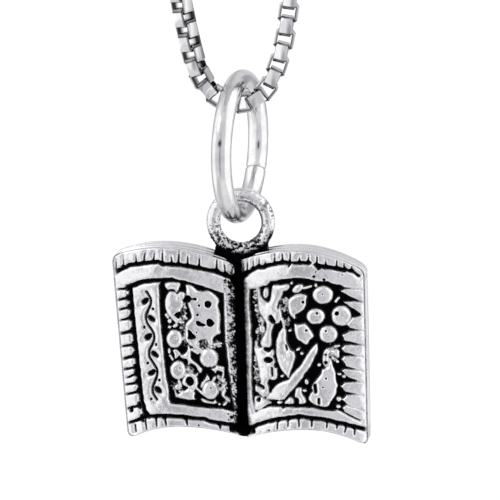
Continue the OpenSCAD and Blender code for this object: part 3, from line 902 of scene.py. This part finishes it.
STEM_EYE = [(1, 1.75), (0.88, 1.95), (1, 2.15), (1.15, 2.2), (1.24, 2.1), (1.12, 1.85)]
# Holes in the stem and the bud: place, radii and tilt
STEM_HOLES = [(0.8, 3.5, 0.2, 0.12, -15), (0.88, 4.02, 0.22, 0.15, 0), (1.28, 4.28, 0.12, 0.16, 0),
              (0.4, 6, 0.1, 0.12, 0), (3.8, 4.15, 0.09, 0.09, 0), (3.8, 3.75, 0.06, 0.05, 0)]
STEM_SLOTS = [
    (0.09, [(1.05, 4.45), (1.08, 4.8)]), (0.15, [(0.32, 5.25), (0.6, 5.4)]), (0.16, [(1, 5.2), (0.96, 5.58)]),
    (0.14, [(3.25, 5.3), (3.28, 5.62)]), (0.1, [(3.45, 6), (3.45, 6.2)]), (0.07, [(1.78, 3.3), (1.8, 3.5)]),
]
BUD_PITS = [(3.8, 4.95, 0.05), (3.65, 5.4, 0.04)]
RIGHT_RIDGES = [
    [(1.68, 2.38), (1.58, 1.95)], [(4.3, 1.1), (4.45, 0.9)], [(4.25, 3.35), (4.45, 3.3)],
    [(2.68, 0.42), (2.85, 0.38), (3.02, 0.34)],
]
RIGHT_CRUSTS = [
    [(1.4, 0.95), (1.6, 0.85), (1.95, 1), (2, 1.35), (1.9, 1.65), (1.65, 1.6), (1.4, 1.4)],
    [(1.6, 1.85), (1.85, 1.85), (1.9, 2.3), (1.65, 2.35)],
    [(0.25, 2.45), (0.5, 2.3), (0.6, 2.75), (0.45, 3.1), (0.25, 3.05)],
    [(3.95, 3.4), (4.2, 3.3), (4.45, 3.75), (4.3, 4.1), (4.05, 3.95)],
    [(0.15, 0.6), (0.35, 0.6), (0.4, 1.5), (0.7, 2.1), (0.45, 2.15), (0.15, 1.6)],
    [(0.15, 3.8), (0.35, 3.9), (0.45, 4.9), (0.25, 5.2), (0.15, 4.6)],
]
RIGHT_CRUMBS = [
    (0.72, 0.68, 0.14, 0.24, 0), (0.52, 2.48, 0.13, 0.19, 15), (2.36, 0.45, 0.29, 0.18, 30),
    (2.05, 0.18, 0.07, 0.07, 0), (3.27, 0.28, 0.07, 0.08, 0), (1.98, 2.55, 0.07, 0.06, 0),
    (1.57, 4.83, 0.07, 0.06, 0), (4.38, 4.1, 0.07, 0.07, 0), (4.5, 4.73, 0.08, 0.06, 0),
    (4.72, 4.85, 0.08, 0.06, 0), (2.38, 3.48, 0.1, 0.07, 30), (2.58, 3.7, 0.08, 0.07, 0),
    (3.45, 4.28, 0.09, 0.08, 0), (2.82, 5.12, 0.1, 0.13, 0), (1.45, 6.15, 0.1, 0.05, 0),
    (2.72, 5.55, 0.08, 0.06, 0), (4.46, 5.98, 0.12, 0.12, 0), (4.44, 6.35, 0.1, 0.08, 0),
]


def right_page():
    u, v = page_plan(RIGHT)[4:]
    relief = Relief(u, v, RIGHT_CORNER, 21)
    for width, line in RIGHT_GROOVES:
        relief.groove(width, line)
    relief.notches(*TOP_GAP, RIGHT_TOP_GAPS)
    relief.notches(*RIGHT_LOW_GAP, [line[::-1] for line in RIGHT_LOW_GAPS])
    relief.pits(RIGHT_PITS)
    relief.cut(relief.within(FRUIT_FIELD, curved=False))
    for tip_x, tip_z, top_x, top_z, top_end, low_x, low_z, low_end in SIDE_TEETH:
        corners = [(tip_x, tip_z), (top_x, top_z), (SIDE_ROOT, top_end - ROOT_SPREAD),
                   (SIDE_ROOT, low_end + ROOT_SPREAD), (low_x, low_z)]
        relief.lift(relief.within(corners, curved=False) + TOOTH_SPREAD, SIDE_TOOTH_EDGE)
    for shape in (UPPER_FRUIT, LOWER_FRUIT, LONG_LEAF, SICKLE_LEAF, BUD):
        relief.lift(relief.within(shape), LIFT_EDGE, LARGE_HIGH)
    for shape in (TALL_STEM, LOW_STEM, ROOT_LOBE, BUD_CAP, BUD_PETAL, SEED_PAIR, SEED):
        relief.lift(relief.within(shape))
    relief.ridge(RIGHT_RIDGE, *RIGHT_RIDGES)
    relief.crust(61, *RIGHT_CRUSTS)
    relief.blobs(RIGHT_CRUMBS, CRUMB_HIGH)
    relief.cut(relief.within(STEM_EYE), HOLE_EDGE)
    for row in STEM_HOLES:
        relief.cut(relief.oval(*row), HOLE_EDGE)
    for width, line in STEM_SLOTS:
        relief.groove(width, line)
    relief.blobs(RIGHT_BERRIES, BERRY_HIGH)
    relief.pits(BERRY_PITS + BUD_PITS)
    return relief, blackness(relief)


# Where each page's soot from the gutter ends, in steps from the page's top to its foot, as places right of the
# eyelet's centre. Then how ragged its end is, how softly it fades, and the way to the gutter
LEFT_WEAR = ((-0.6, -0.78, -0.68, -0.65, -0.58, -0.52, -0.44, -0.5, -0.54), 0.4, 0.34, 1)
RIGHT_WEAR = ((-0.1, 0.35, 0.37, 0.4, 0.44, 0.47, 0.47, 0.48, 0.66), 0.06, 0.3, -1)
# How far below the eyelet's centre the camera sees the pages' top and foot at the gutter
GUTTER_TOP = 2
GUTTER_FOOT = 10.5


def worn_gutter(relief, soot, line, ragged, soft, toward):
    """A page's soot with that from the gutter, which ends in specks along a line down the page."""
    edge = np.interp(-relief.v, np.linspace(GUTTER_TOP, GUTTER_FOOT, len(line)), line)
    specks = 0.45 * lumps(relief.u, relief.v, 0.16, 31) + 0.65 * lumps(relief.u, relief.v, 0.06, 32)
    bare = 1 - ease(((relief.u - edge) * toward + ragged * specks) / soft)
    return np.maximum(soot, 1 - bare ** 2.4)


for name, page, chart, wear in [("left_page", LEFT, left_page, LEFT_WEAR),
                                ("right_page", RIGHT, right_page, RIGHT_WEAR)]:
    relief, soot = chart()
    page_piece(name, page, relief, worn_gutter(relief, soot, *wear))

# The spine, whose flat front is the gutter's floor, with two raised bands across its back

# The spine's foot and head, below the crests of the pages' bottom and top edges
SPINE_LOW = PAGE_TOP - PAGE_H - 0.71
SPINE_HIGH = PAGE_TOP - 0.6
# The bands: where they lie, half their height and the slope of their edges as shares of the spine's height, and
# how far they stand out
SPINE_BANDS = (0.22, 0.78)
BAND_HALF = 0.035
BAND_SLOPE = 0.012
BAND_HIGH = 0.06
# The soot beside a band: how far from its middle and how wide, as the same shares
BAND_SOOT = 0.04
BAND_SOOT_WIDE = 0.006
# How thick the spine still is at its end, and over what share of its height it is rounded or tapered there
HEAD_END = (0.9, 0.012)
FOOT_END = (0.12, 0.025)
# How far back the gutter's soot leaves the spine bare, and over what length it fades
SPINE_BARE = 0.55
SPINE_FADE = 0.3


def spine():
    start = math.asin((FLOOR_Y - SPINE_Y) / SPINE_R)
    angles = np.linspace(start, math.pi - start, 41)
    rings = []
    marks = []
    for share in np.linspace(0, 1, 121):
        z = mix(SPINE_LOW, SPINE_HIGH, share)
        off_band = min(abs(share - place) for place in SPINE_BANDS)
        band = ease((BAND_HALF - off_band) / BAND_SLOPE)
        head = mix(HEAD_END[0], 1, dome((1 - share) / HEAD_END[1]))
        foot = mix(FOOT_END[0], 1, min(share / FOOT_END[1], 1))
        r = (SPINE_R - BAND_HIGH + BAND_HIGH * band) * (head * foot)
        x = SPINE_X + r * np.cos(angles)
        y = np.maximum(SPINE_Y + r * np.sin(angles), FLOOR_Y)
        rings.append(np.stack([x, y, np.full_like(x, z)], -1) + EYE)
        band_soot = 0.9 * math.exp(-((off_band - BAND_SOOT) / BAND_SOOT_WIDE) ** 2)
        marks.append(np.maximum(ease((SPINE_BARE - y) / SPINE_FADE), band_soot))
    mesh = outward_mesh("spine", *skin(rings), {"soot": np.concatenate(marks)})
    finish_piece("spine", mesh, "charm", "oxidised_silver", "book_charm")


spine()

# The eyelet and the neck that it stands on, cast in one with the book

# The sides of the neck's web, below the hoop: half its width on the left and the right, and the height
NECK = [(1.38, 1.45, -0.9), (1.24, 1.36, -1.15), (1.28, 1.4, -1.38), (1.36, 1.5, -1.65), (1.45, 1.55, -2.1)]
# The web's sections through its thickness: how deep, and how far in its outline stands as a share of the way
# to its middle
NECK_DEPTHS = [(-0.36, 0.08), (-0.3, 0), (0.3, 0), (0.36, 0.08)]
NECK_MIDDLE = np.array([0, -1.7])
# Size of the cells in which hoop and web become one casting, and how often it is softened
VOXEL = 0.035
SOFTENINGS = 5
# The casting pits, drawn coarser than real ones, which wouldn't show
PIT_CELL = 0.11
PIT_DEPTH = 0.03


def evaluated(obj):
    """The object's mesh with its modifiers applied, and the object removed."""
    graph = bpy.context.evaluated_depsgraph_get()
    mesh = bpy.data.meshes.new_from_object(obj.evaluated_get(graph))
    bpy.data.objects.remove(obj)
    return mesh


def hoop_and_web():
    """The eyelet as two bodies that run into each other: a round hoop and the neck's web below it."""
    rings = []
    for a in np.linspace(0, 2 * math.pi, 96, endpoint=False):
        b = np.linspace(0, 2 * math.pi, 32, endpoint=False)
        r = EYE_R + EYE_SECTION / 2 * np.cos(b)
        rings.append(np.stack([r * math.cos(a), EYE_SECTION / 2 * np.sin(b), r * math.sin(a)], -1))
    hoop, hoop_faces = skin(rings + rings[:1], capped=False)
    under = np.radians(np.linspace(-140, -40, 21))
    outline = [(EYE_R * math.cos(a), EYE_R * math.sin(a)) for a in under]
    outline += [(right, z) for _, right, z in NECK] + [(-left, z) for left, _, z in reversed(NECK)]
    web_rings = []
    for y, inset in NECK_DEPTHS:
        ring = mix(np.array(outline), NECK_MIDDLE, inset)
        web_rings.append(np.stack([ring[:, 0], np.full(len(ring), y), ring[:, 1]], -1))
    web, web_faces = skin(web_rings)
    faces = hoop_faces + [tuple(n + len(hoop) for n in f) for f in web_faces]
    return outward_mesh("hoop_and_web", np.concatenate([hoop, web]), faces, {}, merge=True)


def eyelet():
    rough = bpy.data.objects.new("eyelet_rough", hoop_and_web())
    bpy.context.scene.collection.objects.link(rough)
    remesh = rough.modifiers.new("one_casting", "REMESH")
    remesh.mode = "VOXEL"
    remesh.voxel_size = VOXEL * MM
    soften = rough.modifiers.new("soften", "SMOOTH")
    soften.factor = 0.5
    soften.iterations = SOFTENINGS
    cast = evaluated(rough)
    cast.name = "eyelet"
    p = np.zeros(len(cast.vertices) * 3)
    cast.vertices.foreach_get("co", p)
    p = p.reshape(-1, 3) / MM
    # These three are views of p, so they move with it
    x, y, z = p.T
    normals = np.array([vertex.normal for vertex in cast.vertices])
    # Casting pits cover the hoop, deepest near the neck and on the right, and hold what the polishing left
    deep = np.maximum(ease((0.9 - z) / 2.1), 0.5 * ease(x / 0.6) * ease((1.5 - z) / 0.5))
    pits = 0.6 * lumps(x + 0.7 * y, z + 0.4 * y, PIT_CELL, 41) + 0.4 * lumps(x - 0.6 * y, z, PIT_CELL / 2, 42)
    inner = ease((1.28 - np.hypot(x, z)) / 0.2)
    p += normals * (PIT_DEPTH * mix(0.4, 1, deep) * (pits - 0.4))[:, None]
    cast.vertices.foreach_set("co", (p * MM).ravel())
    # Soot lies on the web, on the hoop's outer flanks beside it, along the right of the hole, and in the pits
    r = np.hypot(x, z)
    web = ease((-1.45 + 0.33 * x ** 2 - z + 0.25 * pits) / 0.12)
    flank = ease((r - 1.56 + 0.2 * pits) / 0.08) * ease((-0.45 - z + 0.2 * (x > 0)) / 0.25)
    lip = ease((1.2 + 0.1 * pits - r) / 0.1) * ease(x / 0.5) * 0.75
    in_pits = ease((-0.36 - pits + 0.45 * deep + 0.15 * inner) / 0.25) * mix(0.4, 1, deep)
    soot = np.maximum.reduce([web, flank, lip, in_pits])
    cast.attributes.new("soot", "FLOAT", "POINT").data.foreach_set("value", soot.astype(np.float32))
    cast.transform(Matrix.Translation(Vector(EYE * MM)))
    finish_piece("eyelet", cast, "charm", "oxidised_silver", "book_charm", 60)


eyelet()

# The jump ring, a round wire bent into a ring, with its two ends butted at a seam

# The seam: its turn from the ring's top, its gap, and the share of its thickness that the wire has at its ends
SEAM = math.radians(119)
SEAM_GAP = 0.02
SEAM_END = 0.9
# Nicks that the pliers left: the turn from the ring's top, the turn round the wire, and the depth
NICKS = [
    (math.radians(282), 0.08, 0.04),
    (math.radians(98), math.radians(162), 0.04),
    (math.radians(308), 0.1, 0.012),
]
# About half a nick's length and half its width, and the depth at which it is black
NICK_LONG = 0.17
NICK_WIDE = 0.045
NICK_BLACK = 0.018
# The painted reflection, a grey band round the ring's outside: where it runs round the wire, half its width,
# and how dark it is
STRIPE_SIDE = math.radians(-6)
STRIPE_HALF = math.radians(12)
STRIPE_GREY = 0.3
# Where the eyelet has scuffed the ring in streaks: the turn from the ring's top, half the length, how many
# streaks go round the wire, and how dark they are
TOUCH = math.radians(197)
TOUCH_HALF = math.radians(11)
STREAKS = 9
STREAK_SOOT = 0.95


def jump_ring():
    far = np.array([math.sin(RING_TURN), math.cos(RING_TURN), 0])
    axis = np.array([math.cos(RING_TURN), -math.sin(RING_TURN), 0])
    up = np.array([0.0, 0.0, 1.0])
    half_gap = SEAM_GAP / 2 / RING_R
    turns = np.linspace(0, 2 * math.pi - 2 * half_gap, 241)
    b = np.linspace(0, 2 * math.pi, 40, endpoint=False)
    rings = []
    marks = []
    for k, turn in enumerate(turns):
        a = SEAM + half_gap + turn
        out = math.cos(a) * up + math.sin(a) * far
        nick = np.zeros(len(b))
        for place, side, deep in NICKS:
            along = math.remainder(a - place, 2 * math.pi) * RING_R / NICK_LONG
            round_wire = np.angle(np.exp(1j * (b - side))) * WIRE_R / NICK_WIDE
            nick += deep * np.exp(-along ** 2 - round_wire ** 2)
        r = WIRE_R * (SEAM_END if k in (0, len(turns) - 1) else 1) - nick
        rings.append(RING + RING_R * out + (r * np.cos(b))[:, None] * out + (r * np.sin(b))[:, None] * axis)
        # A grey band round the wire's outside is painted on as a reflection
        reflected_stripe = STRIPE_GREY * ease(1.6 - abs(np.angle(np.exp(1j * (b - STRIPE_SIDE)))) / STRIPE_HALF)
        touch = math.exp(-(math.remainder(a - TOUCH, 2 * math.pi) / TOUCH_HALF) ** 2)
        scuffs = STREAK_SOOT * touch * ease(0.5 + 0.9 * np.cos(STREAKS * b))
        marks.append(np.clip(nick / NICK_BLACK, np.maximum(reflected_stripe, scuffs), 1))
    mesh = outward_mesh("ring_wire", *skin(rings), {"soot": np.concatenate(marks)})
    finish_piece("ring_wire", mesh, "ring", "polished_silver", "jump_ring")


jump_ring()

# The box chain: folded square links, each turned a quarter from the last, along the route of the part's source

ROUTE = [
    (4, 1), (5.5, 0.9), (8.5, -0.3), (12, -2.1), (16, -4.9), (20, -9.2), (23, -14.7), (24.6, -22), (24.3, -30),
    (22.5, -44), (17.3, -86), (10.7, -140), (7, -170), (3.2, -200), (2.4, -206.3), (2.2, -207.7), (1.9, -208.9),
    (1.5, -209.9), (0.7, -210.8), (-0.1, -211), (-0.8, -210.9), (-1.5, -210.4), (-2, -209.7), (-2.3, -209),
    (-2.5, -208.2), (-2.9, -206.4), (-3.7, -200), (-7.3, -170), (-10.9, -140), (-17.4, -86), (-22.5, -44),
    (-24.3, -30), (-24.6, -22), (-23, -14.7), (-20, -9.2), (-16, -4.9), (-12, -2.1), (-8.5, -0.3), (-5.5, 0.9),
    (-4, 1),
]
# A link: its width outside, its bevel, what its corners cut off outside and inside, and its strip
LINK_OUTER = 0.98
LINK_BEVEL = 0.035
LINK_CORNER = 0.15
INNER_CORNER = 0.03
STRIP_WIDTH = 0.64
STRIP_THICK = 0.14
# The painted shade where links meet, on a link's leading end and on its other end, and the length over which
# it fades past the leading end's corners
END_SHADE = 0.3
REAR_SHADE = 0.1
SHADE_FADE = 0.06
# The painted shade on the bevel. Inside a link one half is painted black as shade and fades into the other
# across the middle: how much painted shade is left there, and how far from the middle the fading begins and
# ends
BEVEL_SHADE = 0.75
FAR_SHADE = 0.3
SHADE_REACH = 0.11
# How far the bright edge of the strip is worn to a slant
WORN_EDGE = 0.05
# The right leg is drawn out a little further than the left one
PITCH_RIGHT = 0.682
PITCH_LEFT = 0.635
# How far past the loop's lowest point the first link of the left leg stands
FIRST_LINK = 1.02
# The roll of each leg of the chain about its own line
ROLL_RIGHT = math.radians(-2)
ROLL_LEFT = math.radians(-37)
# How far past the lowest point the roll begins to change, and over what length it does
ROLL_START = 1.2
ROLL_RUN = 3.4
# Points on the line from one point of the route to the next
ROUTE_STEPS = 24


def chain_line():
    """Points along the smooth curve through the route."""
    p = np.array(ROUTE, float)
    chord = np.diff(p, axis=0)
    length = np.linalg.norm(chord, axis=1)[:, None]
    unit = chord / length
    through = unit[:-1] * length[1:] + unit[1:] * length[:-1]
    heading = np.concatenate([[[1, 0]], through / np.linalg.norm(through, axis=1)[:, None], [[1, 0]]])
    line = []
    for t in np.linspace(0, 1, ROUTE_STEPS, endpoint=False):
        leave, arrive = (1 + 2 * t) * (1 - t) ** 2, (3 - 2 * t) * t ** 2
        line.append(p[:-1] * leave + p[1:] * arrive
                    + length * (heading[:-1] * t * (1 - t) ** 2 - heading[1:] * (1 - t) * t ** 2))
    line = np.concatenate([np.stack(line, 1).reshape(-1, 2), p[-1:]])
    return np.stack([line[:, 0], np.zeros(len(line)), line[:, 1]], -1)


def link_mesh():
    """One link: a strip folded round a square, with a bevelled and a worn outer edge and cut corners. It is
    painted dark as shade at the corners of its leading end, where it meets the next link, and on one half of
    its inside, which is the opposite half in odd links."""
    half, side = LINK_OUTER / 2, STRIP_WIDTH / 2
    # Once round the strip's section: how far in from the link's outside, how far along its hole, and the
    # painted shade there on the even links and on the odd ones
    section = [(0, side - LINK_BEVEL, 0, 0), (LINK_BEVEL, side, BEVEL_SHADE, BEVEL_SHADE),
               (STRIP_THICK, side, 1, 0), (STRIP_THICK, SHADE_REACH, 1, FAR_SHADE),
               (STRIP_THICK, -SHADE_REACH, FAR_SHADE, 1), (STRIP_THICK, -side, 0, 1), (0, WORN_EDGE - side, 0, 0)]
    rings = []
    marks = []
    for inset, reach, *shades in section:
        out = half - inset
        cut = out - max(LINK_CORNER - inset, INNER_CORNER)
        # Once round the link: across it, along it, and the painted shade
        corners = [(out, cut - SHADE_FADE, 0), (out, cut, 1), (cut, out, END_SHADE), (-cut, out, END_SHADE),
                   (-out, cut, 1), (-out, cut - SHADE_FADE, 0), (-out, -cut, 0), (-cut, -out, REAR_SHADE),
                   (cut, -out, REAR_SHADE), (out, -cut, 0)]
        rings.append(np.array([(x, reach, z) for x, z, _ in corners]))
        marks.append([[max(ink, corner_shade) for _, _, corner_shade in corners] for ink in shades])
    soot = np.array(marks + marks[:1])
    values = {"soot": soot[:, 0].ravel(), "odd_soot": soot[:, 1].ravel()}
    return outward_mesh("link", *skin(rings + rings[:1], capped=False), values, merge=True)


def links_tree():
    """Sets links along a line, turning every other one by a quarter. Its inputs are named for what they set."""
    tree = bpy.data.node_groups.new("links_along_a_line", "GeometryNodeTree")
    face = tree.interface
    face.new_socket("Line", in_out="INPUT", socket_type="NodeSocketGeometry")
    face.new_socket("Link", in_out="INPUT", socket_type="NodeSocketObject")
    face.new_socket("Finish", in_out="INPUT", socket_type="NodeSocketMaterial")
    face.new_socket("Links", in_out="OUTPUT", socket_type="NodeSocketGeometry")
    given = add(tree, "NodeGroupInput").outputs
    curve = add(tree, "GeometryNodeMeshToCurve", None, Mesh=given["Line"])
    points = add(tree, "GeometryNodeCurveToPoints", {"mode": "EVALUATED"}, Curve=curve.outputs[0])
    link = add(tree, "GeometryNodeObjectInfo", None, Object=given["Link"])
    placed = add(tree, "GeometryNodeInstanceOnPoints", None, Points=points.outputs["Points"],
                 Instance=link.outputs["Geometry"], Rotation=points.outputs["Rotation"])
    number = add(tree, "GeometryNodeInputIndex")
    odd = add(tree, "ShaderNodeMath", {"operation": "MODULO"}, at0=number.outputs[0], at1=2.0)
    quarter = add(tree, "ShaderNodeMath", {"operation": "MULTIPLY"}, at0=odd.outputs[0], at1=math.pi / 2)
    roll = add(tree, "GeometryNodeInputNamedAttribute", {"data_type": "FLOAT"}, Name="roll")
    turn = add(tree, "ShaderNodeMath", {"operation": "ADD"}, at0=quarter.outputs[0], at1=roll.outputs[0])
    spin = add(tree, "ShaderNodeCombineXYZ", None, Z=turn.outputs[0])
    turned = add(tree, "GeometryNodeRotateInstances", None, Instances=placed.outputs[0],
                 Rotation=spin.outputs[0])
    real = add(tree, "GeometryNodeRealizeInstances", None, Geometry=turned.outputs[0])
    dressed = add(tree, "GeometryNodeSetMaterial", None, Geometry=real.outputs[0], Material=given["Finish"])
    add(tree, "NodeGroupOutput", None, at0=dressed.outputs[0])
    return tree


def run_tree(obj, tree, **inputs):
    """The plain mesh that the tree makes of the object, with its inputs set by their sockets' identifiers."""
    modifier = obj.modifiers.new(tree.name, "NODES")
    modifier.node_group = tree
    sockets = {item.name: item.identifier for item in tree.interface.items_tree if item.in_out == "INPUT"}
    for name, value in inputs.items():
        modifier[sockets[name]] = value
    obj.update_tag()
    bpy.context.view_layer.update()
    return evaluated(obj)


def box_chain():
    line = chain_line()
    spans = np.linalg.norm(np.diff(line, axis=0), axis=1)
    along = np.concatenate([[0], np.cumsum(spans)])
    lowest = along[line[:, 2].argmin()]
    first = lowest + FIRST_LINK
    right_leg = np.arange(first - PITCH_RIGHT, 0, -PITCH_RIGHT)[::-1]
    left_leg = np.arange(first, along[-1], PITCH_LEFT)
    places = np.concatenate([right_leg, left_leg])
    links = np.stack([np.interp(places, along, line[:, k]) for k in range(3)], -1)
    roll = mix(ROLL_RIGHT, ROLL_LEFT, ease((places - lowest - ROLL_START) / ROLL_RUN))
    mesh = bpy.data.meshes.new("route")
    mesh.from_pydata((links * MM).tolist(), [(i, i + 1) for i in range(len(links) - 1)], [])
    mesh.attributes.new("roll", "FLOAT", "POINT").data.foreach_set("value", roll.astype(np.float32))
    route = bpy.data.objects.new("route", mesh)
    link = bpy.data.objects.new("link", link_mesh())
    for obj in (route, link):
        bpy.context.scene.collection.objects.link(obj)
    chain = run_tree(route, links_tree(), Link=link, Finish=FINISHES["chain_silver"])
    bpy.data.objects.remove(link)
    # Even links take the painted shade meant for them, and odd links theirs
    even, odd = np.zeros((2, len(chain.vertices)), np.float32)
    chain.attributes["soot"].data.foreach_get("value", even)
    chain.attributes["odd_soot"].data.foreach_get("value", odd)
    number = np.arange(len(even)) * len(links) // len(even)
    chain.attributes["soot"].data.foreach_set("value", np.where(number % 2, odd, even))
    chain.attributes.remove(chain.attributes["odd_soot"])
    chain.name = "chain_links"
    finish_piece("chain_links", chain, "chain", "chain_silver", "box_chain")


box_chain()

# The clasp, a turned barrel with knurled cups at its ends

# Sections of half the barrel: distance from its middle and radius
BARREL = [(0, 0.74), (0.12, 0.74), (0.16, 0.86), (0.3, 0.93), (0.6, 0.93), (0.66, 0.86), (0.74, 0.86),
          (0.8, 0.98), (1.2, 1.0), (2.6, 1.0), (3.0, 0.97), (3.08, 0.86), (3.18, 0.86), (3.26, 0.94),
          (3.5, 0.88), (3.75, 0.72), (3.9, 0.6), (4.0, 0.45)]
CLASP_Z = 1.0
# The knurls: how many go round, how deep they are, and how far from the barrel's middle they begin and end
KNURLS = 28
KNURL_DEPTH = 0.03
KNURL_FROM = 1.1
KNURL_TO = 2.7


def clasp():
    sections = [(-x, r) for x, r in BARREL[:0:-1]] + BARREL
    rings = []
    for x, r in sections:
        b = np.linspace(0, 2 * math.pi, KNURLS * 4, endpoint=False)
        knurl = KNURL_DEPTH * np.cos(KNURLS * b) if KNURL_FROM < abs(x) < KNURL_TO else 0
        reach = r - KNURL_DEPTH + knurl
        rings.append(np.stack([np.full_like(b, x), reach * np.cos(b), CLASP_Z + reach * np.sin(b)], -1))
    vertices, faces = skin(rings)
    mesh = outward_mesh("clasp_barrel", vertices, faces, {"soot": np.zeros(len(vertices))})
    finish_piece("clasp_barrel", mesh, "chain", "chain_silver", "clasp", 35)


clasp()

# Studio: a pale floor far below, a white tent with seven softly shaded openings, and two soft lights

# The floor's height and side, in metres
FLOOR_Z = -1.3
FLOOR_SIDE = 2.4
# The tent's light, and the backdrop that the camera sees
TENT_LIGHT = (1.1, 1.1, 1.1, 1)
BACKDROP = (1.04, 1.04, 1.04, 1)
# Each opening in the tent: where it lies, the angles at which it begins and ends, and its shade
OPENINGS = [((-0.1, -0.98, -0.04), 52, 66, "#FDFDFF"), ((0.24, -0.97, -0.04), 26, 38, "#D3D3D7"),
            ((-0.12, 0.99, 0), 50, 80, "#D6D6D9"), ((0, 0, 1), 54, 64, "#C6C6C9"),
            ((-0.14, -0.97, -0.045), 2, 12, "#A5A6AA"),
            ((0.515, 0.857, 0), 5, 11, "#A6A7AA"), ((-0.707, 0.707, 0), 5, 11, "#A6A7AA")]
# The openings are taller than they are wide
SQUEEZE = (1, 1, 0.25)
# Each lamp: its name, place and size in metres, and power in watts
LAMPS = [("key", (-0.5, -0.35, 0.25), 0.3, 0.3), ("fill", (0.6, 0.1, 0.0), 0.3, 0.15)]


def studio():
    bpy.ops.mesh.primitive_plane_add(size=FLOOR_SIDE, location=(0, 0, FLOOR_Z))
    floor = bpy.context.object
    floor.name = "floor"
    paper, tree = new_finish("pale_paper")
    shader = add(tree, "ShaderNodeBsdfPrincipled", None, Base_Color=linear("#F7F7F7"), Roughness=0.9)
    add(tree, "ShaderNodeOutputMaterial", None, Surface=shader.outputs[0])
    floor.data.materials.append(paper)
    world = bpy.data.worlds.new("white_tent")
    bpy.context.scene.world = world
    world.use_nodes = True
    tree = world.node_tree
    tree.nodes.clear()
    way = add(tree, "ShaderNodeTexCoord").outputs["Generated"]
    squeezed = add(tree, "ShaderNodeVectorMath", {"operation": "MULTIPLY"}, at0=way, at1=SQUEEZE)
    level = add(tree, "ShaderNodeVectorMath", {"operation": "NORMALIZE"}, at0=squeezed.outputs["Vector"])
    light = TENT_LIGHT
    for heading, inner, outer, shade in OPENINGS:
        toward = add(tree, "ShaderNodeVectorMath", {"operation": "DOT_PRODUCT"}, at0=level.outputs["Vector"],
                     at1=Vector(heading).normalized())
        opening = add(tree, "ShaderNodeMapRange", {"interpolation_type": "SMOOTHSTEP"},
                      Value=toward.outputs["Value"], at1=math.cos(math.radians(outer)),
                      at2=math.cos(math.radians(inner)))
        light = add(tree, "ShaderNodeMix", {"data_type": "RGBA"}, at0=opening.outputs[0],
                    at6=light, at7=linear(shade)).outputs[2]
    straight = add(tree, "ShaderNodeLightPath").outputs["Is Camera Ray"]
    seen = add(tree, "ShaderNodeMix", {"data_type": "RGBA"}, at0=straight, at6=light, at7=BACKDROP)
    lit = add(tree, "ShaderNodeBackground", None, Color=seen.outputs[2], Strength=1.0)
    add(tree, "ShaderNodeOutputWorld", None, Surface=lit.outputs[0])
    for name, place, size, energy in LAMPS:
        data = bpy.data.lights.new(name, "AREA")
        data.size = size
        data.energy = energy
        lamp = bpy.data.objects.new(name, data)
        lamp.location = place
        toward_charm = Vector(EYE * MM) - lamp.location
        lamp.rotation_euler = toward_charm.to_track_quat("-Z", "Y").to_euler()
        bpy.context.scene.collection.objects.link(lamp)
    bpy.context.scene.view_settings.view_transform = "Standard"


studio()

# Camera

# The width that the picture takes in, the camera's distance and its sensor's width
FRAME_WIDTH = 25
DISTANCE = 450
SENSOR = 36
# The picture's middle lies right of the eyelet's centre and below it
TARGET = EYE + 0.46 * VIEW_RIGHT - 1.415 * VIEW_UP


def make_camera():
    data = bpy.data.cameras.new("camera")
    data.sensor_width = SENSOR
    data.lens = SENSOR * DISTANCE / FRAME_WIDTH
    camera = bpy.data.objects.new("camera", data)
    bpy.context.scene.collection.objects.link(camera)
    camera.location = Vector((TARGET + VIEW_BACK * DISTANCE) * MM)
    camera.rotation_mode = "QUATERNION"
    camera.rotation_quaternion = Vector(-VIEW_BACK).to_track_quat("-Z", "Y")
    bpy.context.scene.camera = camera


make_camera()
bpy.context.view_layer.update()
